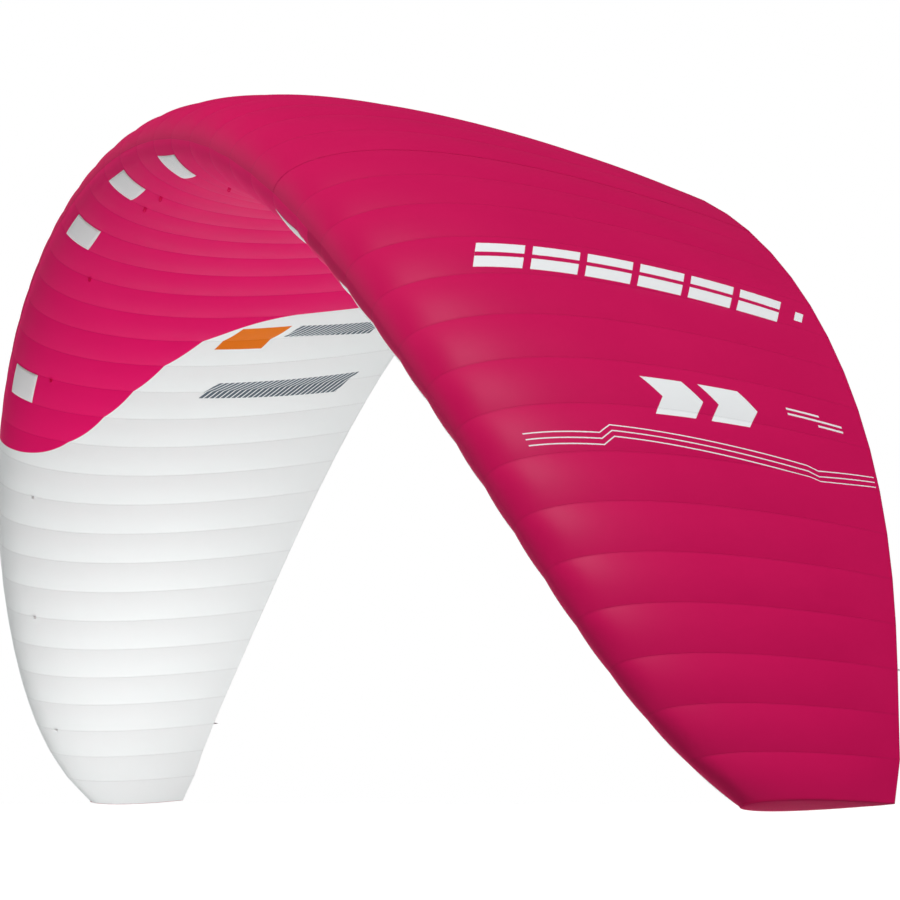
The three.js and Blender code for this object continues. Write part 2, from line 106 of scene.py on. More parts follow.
@dataclass(frozen=True)
class CanopyShape:
    """Outside of the canopy as it is cut, straight from rib to rib, with the billow that air gives it.

    Attributes:
        root_chord: Chord of the section in the middle.
        tip_chord: Chord of the tip section.
        half_span: Distance from the middle to a tip along the arc.
        arc_turn: Slope of the arc at the tip, if it were part of a circle.
        arc_ease: How much less than that the tip slopes.
        plan_roundness: Power that keeps the chord long in the middle.
        plan_taper: Power that rounds the plan towards the tips.
        sweep: How far the noses fall back over the half span.
        tip_sweep: How far they fall back as well close to the tip.
        tip_sweep_power: How close to the tip that begins.
        washout: How far the tip section turns nose down.
        section_thickness: Greatest height of a section, as a share of its chord.
        trailing_half: Half the height left at the trailing edge.
        cells: Number of cells from tip to tip.
        tip_cell_ratio: Width of the last cell, as a share of the middle one's.
        skin_split: Cell number of the rib seam where the middle panels end.
        arc_steps: Number of steps in which the arc is added up.
        tab_place: Place of the bridle tabs along the section.
        billow: Height of a cell's crown, as a share of its width.
        billow_fade: Share of the chord over which the billow dies out at the rear.
        billow_nose: Share of the billow left at the nose.
        billow_rise: Share of the chord over which the billow grows behind the nose.
        seam_sink: How far the seams pull the cloth in.
        thickest: Share of the chord at which a section is highest.
        loaded_ribs: Numbers of the ribs that carry bridle tabs, counted from the middle.
        intake_cells: Cell numbers of the intakes.
    """

    root_chord: float = 1.535
    tip_chord: float = 0.400
    half_span: float = 3.545
    arc_turn: float = 78.0
    arc_ease: float = 7.0
    plan_roundness: float = 2.7
    plan_taper: float = 0.8
    sweep: float = 0.590
    tip_sweep: float = 0.130
    tip_sweep_power: int = 20
    washout: float = 2.0
    section_thickness: float = 0.21
    trailing_half: float = 0.0025
    cells: int = 47
    tip_cell_ratio: float = 0.58
    skin_split: float = 8.5
    arc_steps: int = 96
    tab_place: float = -0.3
    billow: float = 0.05
    billow_fade: float = 0.35
    billow_nose: float = 0.2
    billow_rise: float = 0.06
    seam_sink: float = 0.001
    thickest: float = 0.3
    loaded_ribs: tuple[int, ...] = (1, 5, 9, 13, 17, 21)
    intake_cells: tuple[int, ...] = (-9, -3, 0, 3, 9)

    @property
    def tip(self) -> float:
        """Number of cells from the middle to the tip rib."""
        return self.cells / 2

    def span_share(self, cell: float) -> float:
        """Share of the half span at a cell number; cells narrow towards the tip.

        Args:
            cell: Cell number.

        Returns:
            A share from 0 in the middle to 1 at the tip.
        """

        def reach(n: float) -> float:
            """Distance out to a number of cells, in widths of the middle cell."""
            return n - (1 - self.tip_cell_ratio) * n**3 / (3 * self.tip**2)

        return reach(abs(cell)) / reach(self.tip)

    def arc_slope(self, share: float) -> float:
        """Slope of the arc in radians at a share of the half span."""
        return math.radians(self.arc_turn * share - self.arc_ease * share**3)

    def arc_point(self, share: float) -> tuple[float, float]:
        """Distance out and height on the arc at a share of the half span.

        Args:
            share: Share of the half span.

        Returns:
            The distance out from the middle, and the height, which is 0 in the middle and falls.
        """
        step = self.half_span * share / self.arc_steps
        slopes = [self.arc_slope(share * (i + 0.5) / self.arc_steps) for i in range(self.arc_steps)]
        out = step * sum(math.cos(slope) for slope in slopes)
        height = -step * sum(math.sin(slope) for slope in slopes)
        return out, height

    def chord(self, cell: float) -> float:
        """Chord of the section at a cell number.

        Args:
            cell: Cell number.

        Returns:
            The chord.
        """
        share = self.span_share(cell)
        full = (1 - share**self.plan_roundness) ** self.plan_taper if share < 1 else 0.0
        return self.tip_chord + (self.root_chord - self.tip_chord) * full

    def station(self, cell: float) -> Matrix:
        """Placement of the section at a cell number: x aft, y away from the arc's inside, z across.

        Args:
            cell: Cell number of the section.

        Returns:
            Matrix that takes the section into the kite.
        """
        share = self.span_share(cell)
        side = math.copysign(1, cell) if cell else 0
        slope = side * self.arc_slope(share)
        turn = -math.radians(self.washout) * share
        out, height = self.arc_point(share)
        nose = self.sweep * share**3 + self.tip_sweep * share**self.tip_sweep_power
        aft = Vector((-math.sin(turn) * math.sin(slope), math.cos(turn), -math.sin(turn) * math.cos(slope)))
        away = Vector((math.cos(turn) * math.sin(slope), math.sin(turn), math.cos(turn) * math.cos(slope)))
        placement = Matrix((aft, away, aft.cross(away))).transposed().to_4x4()
        placement.translation = Vector((side * out, nose, height)) - self.origin
        return placement

    @property
    def origin(self) -> Vector:
        """Where the bridle pulls, seen from the nose of the middle cell, which stands straight.

        Returns:
            The point that becomes the origin of the kite.
        """
        flat = self.outline(0.5, np.array([self.tab_place]))[0][0]
        share = self.span_share(0.5)
        slope = self.arc_slope(share)
        turn = -math.radians(self.washout) * share
        height = self.arc_point(share)[1]
        nose = self.sweep * share**3
        aft = nose + flat[0] * math.cos(turn) + flat[1] * math.sin(turn)
        up = height - flat[0] * math.sin(turn) * math.cos(slope) + flat[1] * math.cos(turn) * math.cos(slope)
        return Vector((0, aft, up))

    def half_thickness(self, share: np.ndarray, chord: float) -> np.ndarray:
        """Half the section's height at shares of the chord.

        Args:
            share: Shares of the chord.
            chord: Chord of the section.

        Returns:
            Half the height at each share.
        """
        curve = (
            0.2969 * np.sqrt(share) - 0.126 * share - 0.3516 * share**2
            + 0.2843 * share**3 - 0.1036 * share**4
        )
        return 5 * self.section_thickness * chord * curve + self.trailing_half * share

    def height(self, cell: float, share: float) -> float:
        """Height of a section at a share of its chord."""
        return 2 * float(self.half_thickness(np.array([share]), self.chord(cell))[0])

    def inside(self, cell: float, aft: float) -> Vector:
        """Point between the skins at a cell, a distance behind the nose."""
        return self.station(cell) @ Vector((aft, 0, 0))

    def outline(self, cell: float, places: np.ndarray) -> tuple[np.ndarray, np.ndarray]:
        """Section outline in its own plane.

        Args:
            cell: Cell number of the section.
            places: Places along the section.

        Returns:
            The points and the unit directions out of the cloth, both as rows of x and y.
        """
        chord = self.chord(cell)

        def points(at: np.ndarray) -> np.ndarray:
            """Points of the outline at places along the section."""
            share = at**2
            return np.stack([share * chord, np.sign(at) * self.half_thickness(share, chord)], axis=1)

        step = 0.001
        tangent = points(places + step) - points(places - step)
        tangent /= np.linalg.norm(tangent, axis=1, keepdims=True)
        return points(places), np.stack([-tangent[:, 1], tangent[:, 0]], axis=1)

    def rib_line(self, cell: float, places: np.ndarray) -> tuple[np.ndarray, np.ndarray]:
        """Section outline and its directions out of the cloth, placed in the kite.

        Args:
            cell: Cell number of the section.
            places: Places along the section.

        Returns:
            The points and the unit directions out of the cloth, both as rows of x, y and z.
        """
        flat, out = self.outline(cell, places)
        placement = np.array(self.station(cell))
        turn = placement[:3, :2]
        return flat @ turn.T + placement[:3, 3], out @ turn.T

    def surface(
        self, cells: np.ndarray, places: np.ndarray, lift: float = 0.0, billowed: bool = True
    ) -> np.ndarray:
        """Points on the skin for every pair of a cell number and a place.

        Args:
            cells: Cell numbers, in order.
            places: Places along the section.
            lift: Distance out of the cloth.
            billowed: Whether the cells are full of air, or straight from rib to rib.

        Returns:
            Array of points, indexed by cell, place and axis.
        """
        rows = []
        lines: dict[float, tuple[np.ndarray, np.ndarray]] = {}
        for cell in cells:
            before = min(max(math.floor(cell + 0.5) - 0.5, -self.tip), self.tip - 1)
            for rib in (before, before + 1):
                if rib not in lines:
                    lines[rib] = self.rib_line(rib, places)
            along = cell - before
            start, start_out = lines[before]
            end, end_out = lines[before + 1]
            out = start_out * (1 - along) + end_out * along
            out /= np.linalg.norm(out, axis=1, keepdims=True)
            rise = lift
            if billowed:
                width = np.linalg.norm(end - start, axis=1)
                rise = lift + self.billow_at(along, places**2) * width - self.seam_sink
            rows.append(start * (1 - along) + end * along + out * np.reshape(rise, (-1, 1)))
        return np.stack(rows)

    def billow_at(self, along: float, share: np.ndarray) -> np.ndarray:
        """Billow as a share of the cell's width, at a share of the way over the cell.

        Args:
            along: Share of the way over the cell.
            share: Shares of the chord.

        Returns:
            The billow at each share of the chord, as a share of the cell's width.
        """
        crown = 1 - (2 * along - 1) ** 2
        rise = np.sin(np.clip(share / self.billow_rise, 0, 1) * math.pi / 2)
        fade = np.sin(np.clip((1 - share) / self.billow_fade, 0, 1) * math.pi / 2)
        return self.billow * crown * fade * (self.billow_nose + (1 - self.billow_nose) * rise)

    def place_along(self, cell: float, place: float, distance: float) -> float:
        """Place reached from another by a distance over the skin.

        Args:
            cell: Cell number.
            place: Place to start from.
            distance: Distance to go, towards larger places.

        Returns:
            The place reached.
        """
        step = 0.01
        ends = self.surface(np.array([cell]), np.array([place, place + step]), billowed=False)[0]
        return place + distance * step / float(np.linalg.norm(ends[1] - ends[0]))

    def cell_width(self, cell: float) -> float:
        """Width of a cell at its nose."""
        ends = self.surface(np.array([cell - 0.5, cell + 0.5]), np.array([0.0]), billowed=False)[:, 0]
        return float(np.linalg.norm(ends[1] - ends[0]))


@dataclass(frozen=True)
class BrakeFold:
    """Where a tip corner bends when its brake line is pulled.

    Attributes:
        shape: Shape of the canopy.
        side: Half of the kite.
        root_cell: Cell number where the fold meets the trailing edge.
        tip_share: Share of the chord where it meets the tip.
        drop: Distance of the fold from the lower skin, towards the arc's inside.
        bend_ahead: Distance ahead of the fold at which the bend starts; not used.
        bend_behind: Distance behind it at which the bend ends; not used.
    """

    shape: CanopyShape
    side: Side
    root_cell: float = 15.0
    tip_share: float = 0.5
    drop: float = 0.003
    bend_ahead: float = 0.13
    bend_behind: float = 0.06

    @property
    def first_rib(self) -> int:
        """Number of the first rib that the fold crosses."""
        return int(self.root_cell) + 1

    def directions(self) -> tuple[Vector, Vector]:
        """Middle of the fold, and the direction behind it.

        Returns:
            A point in the middle of the fold, and the unit direction that the corner lies in.
        """
        shape = self.shape
        sign = self.side.value
        inner_cells = np.array([sign * self.root_cell])
        outer_cells = np.array([sign * shape.tip])
        inner = Vector(shape.surface(inner_cells, np.array([-1.0]), billowed=False)[0, 0])
        outer_place = -math.sqrt(self.tip_share)
        outer = Vector(shape.surface(outer_cells, np.array([outer_place]), billowed=False)[0, 0])
        away = shape.station(sign * (self.root_cell + shape.tip) / 2).to_3x3().col[1].normalized()
        along = (outer - inner).normalized()
        aft = (away.cross(along) * sign).normalized()
        return (inner + outer) / 2 - away * self.drop, aft

    def bend(self, piece: bpy.types.Object) -> None:
        """Bakes a piece's placement into its mesh, without bending it into the brake corner.

        Args:
            piece: Piece that crosses the fold.
        """
        middle, aft = self.directions()
        f"brake_corner_{self.side.label}"
        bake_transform(piece)


# ---------------------------------------------------------------- node and mesh helpers


class Shader:
    """Builds one material's nodes, each call returning the socket that carries its result."""

    def __init__(self, name: str) -> None:
        """Starts a material with a Principled shader and nothing linked to it.

        Args:
            name: Name of the material.
        """
        self.material = bpy.data.materials.new(name)
        self.material.use_nodes = True
        self.tree = self.material.node_tree
        self.surface = next(n for n in self.tree.nodes if n.type == "BSDF_PRINCIPLED")

    def link(self, value: Feed, socket: Socket) -> None:
        """Feeds a socket with another socket or with a plain value.

        Args:
            value: Socket or plain value; None leaves the socket as it is.
            socket: Socket to feed.
        """
        if isinstance(value, bpy.types.NodeSocket):
            self.tree.links.new(value, socket)
        elif value is not None:
            socket.default_value = value

    def set(self, **values: Feed) -> None:
        """Sets or links the Principled shader's sockets, named with underscores for spaces."""
        for name, value in values.items():
            self.link(value, self.surface.inputs[name.replace("_", " ")])

    def math(self, operation: str, first: Feed, second: Feed = None, third: Feed = None,
             clamp: bool = False) -> Socket:
        """Adds a Math node.

        Args:
            operation: Name of the operation.
            first: First input.
            second: Second input.
            third: Third input.
            clamp: Whether the result stays between 0 and 1.

        Returns:
            The node's result.
        """
        node = self.tree.nodes.new("ShaderNodeMath")
        node.operation = operation
        node.use_clamp = clamp
        for value, socket in zip((first, second, third), node.inputs):
            self.link(value, socket)
        return node.outputs[0]

    def ramp(self, value: Feed, start: float, end: float) -> Socket:
        """Goes straight from 0 at start to 1 at end."""
        return self.rise(value, start, end, "LINEAR")

    def rise(self, value: Feed, start: float, end: float, curve: str = "SMOOTHSTEP") -> Socket:
        """Goes smoothly from 0 at start to 1 at end.

        Args:
            value: Value to follow.
            start: Value at which it leaves 0.
            end: Value at which it reaches 1.
            curve: Way in which it goes.

        Returns:
            A number from 0 to 1.
        """
        node = self.tree.nodes.new("ShaderNodeMapRange")
        node.interpolation_type = curve
        self.link(value, node.inputs["Value"])
        node.inputs["From Min"].default_value = start
        node.inputs["From Max"].default_value = end
        return node.outputs["Result"]

    def band(self, value: Feed, low: float, high: float, soft: float) -> Socket:
        """Is 1 between two values and 0 outside them, with soft edges.

        Args:
            value: Value to follow.
            low: Lower edge.
            high: Upper edge.
            soft: Half the width of each edge.

        Returns:
            The mask.
        """
        inside = self.rise(value, low - soft, low + soft)
        past = self.rise(value, high - soft, high + soft)
        return self.math("SUBTRACT", inside, past, clamp=True)

    def both(self, first: Feed, second: Feed) -> Socket:
        """Keeps what two masks share."""
        return self.math("MULTIPLY", first, second)

    def either(self, masks: Sequence[Feed]) -> Socket:
        """Joins masks, keeping the larger at each point.

        Args:
            masks: Masks to join.

        Returns:
            The joined mask.
        """
        joined = masks[0]
        for mask in masks[1:]:
            joined = self.math("MAXIMUM", joined, mask)
        return joined

    def mix(self, share: Feed, first: Feed, second: Feed, blend: str = "MIX") -> Socket:
        """Mixes two colours.

        Args:
            share: Share of the second colour.
            first: First colour.
            second: Second colour.
            blend: Way in which the second colour goes over the first.

        Returns:
            The mixed colour.
        """
        node = self.tree.nodes.new("ShaderNodeMix")
        node.data_type = "RGBA"
        node.blend_type = blend
        colours = [s for s in node.inputs if s.type == "RGBA"]
        self.link(share, node.inputs["Factor"])
        self.link(first, colours[0])
        self.link(second, colours[1])
        return next(s for s in node.outputs if s.type == "RGBA")

    def darken(self, share: Feed, colour: Feed, tone: float) -> Socket:
        """Multiplies a colour by a tone where a mask says so."""
        return self.mix(share, colour, (tone, tone, tone, 1.0), blend="MULTIPLY")

    def without(self, mask: Feed) -> Socket:
        """Keeps what a mask leaves out."""
        return self.math("SUBTRACT", 1.0, mask)

    def map(self, name: str) -> tuple[Socket, Socket, Socket]:
        """Reads a UV map, and returns its vector and its two numbers.

        Args:
            name: Name of the map.

        Returns:
            The vector, its first number and its second.
        """
        node = self.tree.nodes.new("ShaderNodeUVMap")
        node.uv_map = name
        split = self.tree.nodes.new("ShaderNodeSeparateXYZ")
        self.tree.links.new(node.outputs[0], split.inputs[0])
        return node.outputs[0], split.outputs[0], split.outputs[1]

    def object_place(self) -> Socket:
        """Reads the place on the object."""
        return self.tree.nodes.new("ShaderNodeTexCoord").outputs["Object"]

    def stretched(self, vector: Feed, scale: tuple[float, float, float]) -> Socket:
        """Scales a vector on each axis.

        Args:
            vector: Vector to scale.
            scale: Scale on each axis.

        Returns:
            The scaled vector.
        """
        node = self.tree.nodes.new("ShaderNodeMapping")
        self.link(vector, node.inputs["Vector"])
        node.inputs["Scale"].default_value = scale
        return node.outputs[0]

    def noise(self, vector: Feed, scale: float, detail: float = 3.0) -> Socket:
        """Adds noise from 0 to 1.

        Args:
            vector: Place in the noise.
            scale: How fine it is.
            detail: Number of finer layers on it.

        Returns:
            The noise.
        """
        node = self.tree.nodes.new("ShaderNodeTexNoise")
        self.link(vector, node.inputs["Vector"])
        node.inputs["Scale"].default_value = scale
        node.inputs["Detail"].default_value = detail
        return node.outputs[0]

    def bump(self, height: Feed, distance: float, strength: float = 1.0,
             under: Feed = None) -> Socket:
        """Turns a height into a normal, on top of another normal if one is given.

        Args:
            height: Height from 0 to 1.
            distance: Height in metres that 1 stands for.
            strength: Share of the effect.
            under: Normal to build on.

        Returns:
            The normal.
        """
        node = self.tree.nodes.new("ShaderNodeBump")
        node.inputs["Strength"].default_value = strength
        node.inputs["Distance"].default_value = distance
        self.link(height, node.inputs["Height"])
        self.link(under, node.inputs["Normal"])
        return node.outputs[0]


def grid_mesh(points: np.ndarray) -> bmesh.types.BMesh:
    """Sheet of quads through a grid of points.

    Args:
        points: Array indexed by column, row and axis.

    Returns:
        A mesh with one vertex for each point, in the grid's order column by column.
    """
    columns = points.shape[0] - 1
    rows = points.shape[1] - 1
    mesh = bmesh.new()
    bmesh.ops.create_grid(mesh, x_segments=columns, y_segments=rows, size=0.5)
    for vertex in mesh.verts:
        column = round((vertex.co.x + 0.5) * columns)
        row = round((vertex.co.y + 0.5) * rows)
        vertex.co = points[column, row]
        vertex.index = column * (rows + 1) + row
    mesh.verts.sort()
    return mesh


def add_map(mesh: bmesh.types.BMesh, name: str, values: np.ndarray) -> None:
    """Writes a UV map from a pair of numbers for each vertex.

    Args:
        mesh: Mesh that gets the map.
        name: Name of the map.
        values: Two numbers for each vertex, in order.
    """
    layer = mesh.loops.layers.uv.new(name)
    for face in mesh.faces:
        for loop in face.loops:
            loop[layer].uv = values[loop.vert.index]


def add_loop(mesh: bmesh.types.BMesh, points: Iterable[Sequence[float]]) -> None:
    """Adds a closed loop of edges through points in the plane of x and y.

    Args:
        mesh: Mesh that gets the loop.
        points: Corners of the loop, in order.
    """
    loop = [mesh.verts.new((x, y, 0)) for x, y in points]
    for first, second in zip(loop, loop[1:] + loop[:1]):
        mesh.edges.new((first, second))


def edges_of(vertices: Iterable[bmesh.types.BMVert]) -> list[bmesh.types.BMEdge]:
    """Edges that meet at any of some vertices."""
    return list(dict.fromkeys(edge for vertex in vertices for edge in vertex.link_edges))


def round_edges(mesh: bmesh.types.BMesh, edges: list[bmesh.types.BMEdge], offset: float,
                segments: int) -> None:
    """Rounds edges of a mesh.

    Args:
        mesh: Mesh that holds the edges.
        edges: Edges to round.
        offset: Distance from each edge at which the rounding starts.
        segments: Number of flats in the rounding.
    """
    bmesh.ops.bevel(mesh, geom=edges, offset=offset, offset_type="OFFSET", segments=segments,
                    profile=0.5, affect="EDGES", material=-1)


def add_block(mesh: bmesh.types.BMesh, size: tuple[float, float, float], place: Matrix,
              edge: float, segments: int) -> None:
    """Adds a block with rounded edges.

    Args:
        mesh: Mesh that gets the block.
        size: Its size on each axis.
        place: Its placement.
        edge: Distance from each edge at which the rounding starts.
        segments: Number of flats in the rounding.
    """
    made = bmesh.ops.create_cube(mesh, size=1.0, matrix=place @ Matrix.Diagonal((*size, 1)))
    round_edges(mesh, edges_of(made["verts"]), edge, segments)


def make_piece(name: str, mesh: bmesh.types.BMesh, material: bpy.types.Material,
               smooth: bool = True) -> bpy.types.Object:
    """Makes an object of a finished mesh, which it frees.

    Args:
        name: Name of the piece.
        mesh: Finished mesh.
        material: Its material.
        smooth: Whether its faces are shaded smooth.

    Returns:
        The piece.
    """
    for face in mesh.faces:
        face.smooth = smooth
    data = bpy.data.meshes.new(name)
    mesh.to_mesh(data)
    mesh.free()
    data.materials.append(material)
    piece = bpy.data.objects.new(name, data)
    bpy.context.scene.collection.objects.link(piece)
    log.info("%s: %d faces", name, len(data.polygons))
    return piece


def thicken(piece: bpy.types.Object, thickness: float, offset: float = -1.0) -> None:
    """Gives a sheet its thickness; unless told otherwise, its outside stays where it is.

    Args:
        piece: Sheet to thicken.
        thickness: Thickness of the cloth.
        offset: Side that it grows on: -1 inwards, 0 both ways.
    """
    solid = piece.modifiers.new("cloth thickness", "SOLIDIFY")
    solid.thickness = thickness
    solid.offset = offset
    solid.use_even_offset = False
    solid.use_rim = True


def face_outwards(mesh: bmesh.types.BMesh, inside: Vector) -> None:
    """Turns a sheet's faces away from a point inside the object.

    Args:
        mesh: Sheet to turn.
        inside: Point that its faces look away from.
    """
    total = sum(((face.calc_center_median() - inside).dot(face.normal) * face.calc_area()
                 for face in mesh.faces), 0.0)
    if total < 0:
        bmesh.ops.reverse_faces(mesh, faces=mesh.faces[:])


def sheet_area(mesh: bmesh.types.BMesh) -> float:
    """Area of a sheet's faces."""
    return sum(face.calc_area() for face in mesh.faces)


# ---------------------------------------------------------------- finishes


@dataclass(frozen=True)
class Ripstop:
    """Coated ripstop cloth, with its sewn seams and the small creases beside them.

    Attributes:
        name: Name of the material.
        colour: Colour of most of the cloth.
        shade: Slightly deeper colour that it is mottled with.
        roughness: Roughness in the middle of its range.
        specular: Strength of the gloss.
        square: Width of a ripstop square.
        crease: Height of the creases beside a seam.
        stitch_tone: Tone of the stitches, as a share of the cloth's colour.
        seam_width: Distance from a seam at which the creases begin to die out, in cells.
        crease_reach: Distance from a seam at which they end, in cells.
        crease_scale: How fine the creases are along the span and along the chord.
        mottle_scale: How fine the mottling is.
        rough_spread: Width of the roughness's range.
        stitch_rows: Distances from a seam between which a row of stitches lies, in cells.
        stitch_pitch: Half the distance from one stitch to the next.
        stitch_height: Height of a stitch.
        weave_height: Height of the ripstop threads.
        artwork: Prints on the cloth's colour, if anything is printed.
    """

    name: str
    colour: Colour
    shade: Colour
    roughness: float = 0.50
    specular: float = 0.10
    square: float = 0.005
    crease: float = 0.0012
    stitch_tone: float = 0.72
    seam_width: float = 0.030
    crease_reach: float = 0.30
    crease_scale: tuple[float, float, float] = (9.0, 38.0, 1.0)
    mottle_scale: float = 2.2
    rough_spread: float = 0.12
    stitch_rows: tuple[float, float] = (0.008, 0.016)
    stitch_pitch: float = 0.0025
    stitch_height: float = 0.0004
    weave_height: float = 0.00008
    artwork: Optional[Callable[[Shader, Socket, Socket, Socket], Socket]] = None

    def material(self) -> bpy.types.Material:
        """Builds the material.

        Returns:
            The material.
        """
        shader = Shader(self.name)
        cloth, across, along = shader.map(CLOTH_MAP)
        _, cell, share = shader.map(CELL_MAP)
        seam = self.seam_distance(shader, cell)
        mottle = shader.rise(shader.noise(cloth, self.mottle_scale, 4.0), 0.35, 0.7)
        base = shader.mix(mottle, (*self.shade, 1), (*self.colour, 1))
        colour = self.artwork(shader, cell, share, base) if self.artwork else base
        stitch = self.stitches(shader, seam, along)
        sewn = shader.darken(stitch, colour, self.stitch_tone)
        shader.set(Base_Color=sewn, Normal=self.relief(shader, cloth, across, along, seam, stitch))
        smoothest = self.roughness - self.rough_spread / 2
        rough = shader.math("MULTIPLY_ADD", shader.noise(cloth, 6.0), self.rough_spread, smoothest)
        shader.set(Roughness=rough, Specular_IOR_Level=self.specular)
        return shader.material

    def seam_distance(self, shader: Shader, cell: Feed) -> Socket:
        """Distance to the nearest rib seam, in cells."""
        part = shader.math("FRACT", cell)
        return shader.math("ABSOLUTE", shader.math("SUBTRACT", part, 0.5))

    def stitches(self, shader: Shader, seam: Feed, along: Feed) -> Socket:
        """Mask of the two rows of stitches beside each rib seam.

        Args:
            shader: Material being built.
            seam: Distance to the nearest seam, in cells.
            along: Distance over the cloth along the chord.

        Returns:
            The mask.
        """
        rows = shader.band(seam, *self.stitch_rows, 0.002)
        dash = shader.math("PINGPONG", along, self.stitch_pitch)
        return shader.both(rows, shader.rise(dash, self.stitch_pitch * 0.32, self.stitch_pitch * 0.48))

    def relief(self, shader: Shader, cloth: Feed, across: Feed, along: Feed,
               seam: Feed, stitch: Feed) -> Socket:
        """Normal of the ripstop squares, stitches and creases.

        Args:
            shader: Material being built.
            cloth: Place on the cloth, in metres.
            across: Its distance along the span.
            along: Its distance along the chord.
            seam: Distance to the nearest seam, in cells.
            stitch: Mask of the stitches.

        Returns:
            The normal.
        """
        near_seam = shader.without(shader.rise(seam, self.seam_width, self.crease_reach))
        folds = shader.noise(shader.stretched(cloth, self.crease_scale), 1.0, 2.0)
        creases = shader.bump(shader.both(folds, near_seam), self.crease, 0.5)
        squares = []
        for place in (across, along):
            wave = shader.math("PINGPONG", place, self.square / 2)
            squares.append(shader.without(shader.rise(wave, 0.0, self.square * 0.12)))
        weave = shader.bump(shader.either(squares), self.weave_height, 0.35, creases)
        return shader.bump(stitch, self.stitch_height, 0.5, weave)


@dataclass(frozen=True)
class Stripe:
    """Straight stripe printed along the chord, placed by cell number and share of the chord.

    Attributes:
        middle: Cell number of its middle at the start.
        half: Half its width at the start, in cells.
        start: Share of the chord where it starts.
        end: Share of the chord where it ends.
        drift: Cells by which its middle moves for a whole chord.
        growth: Cells by which its half width grows for a whole chord.
        lean: Share of the chord by which its ends slant for each cell.
    """

    middle: float
    half: float
    start: float
    end: float
    drift: float = 0.0
    growth: float = 0.0
    lean: float = 0.0

    def mask(self, shader: Shader, cell: Feed, share: Feed) -> Socket:
        """Mask of the stripe; its middle drifts and its half width grows with the share of the chord.

        Args:
            shader: Material being built.
            cell: Cell number over the surface.
            share: Share of the chord over the surface.

        Returns:
            The mask.
        """
        aft = shader.math("SUBTRACT", share, self.start)
        off = shader.math("SUBTRACT", cell, self.middle)
        drifted = shader.math("MULTIPLY_ADD", aft, -self.drift, off)
        over = shader.math("MULTIPLY_ADD", aft, -self.growth, shader.math("ABSOLUTE", drifted))
        width = shader.without(shader.rise(over, self.half - CELL_EDGE, self.half + CELL_EDGE))
        slanted = self.leaning(shader, cell, share)
        return shader.both(width, shader.band(slanted, self.start, self.end, SHARE_EDGE))

    def leaning(self, shader: Shader, cell: Feed, share: Feed) -> Socket:
        """Share of the chord, slanted with the stripe's ends."""
        return shader.math("MULTIPLY_ADD", shader.math("SUBTRACT", cell, self.middle), -self.lean, share)


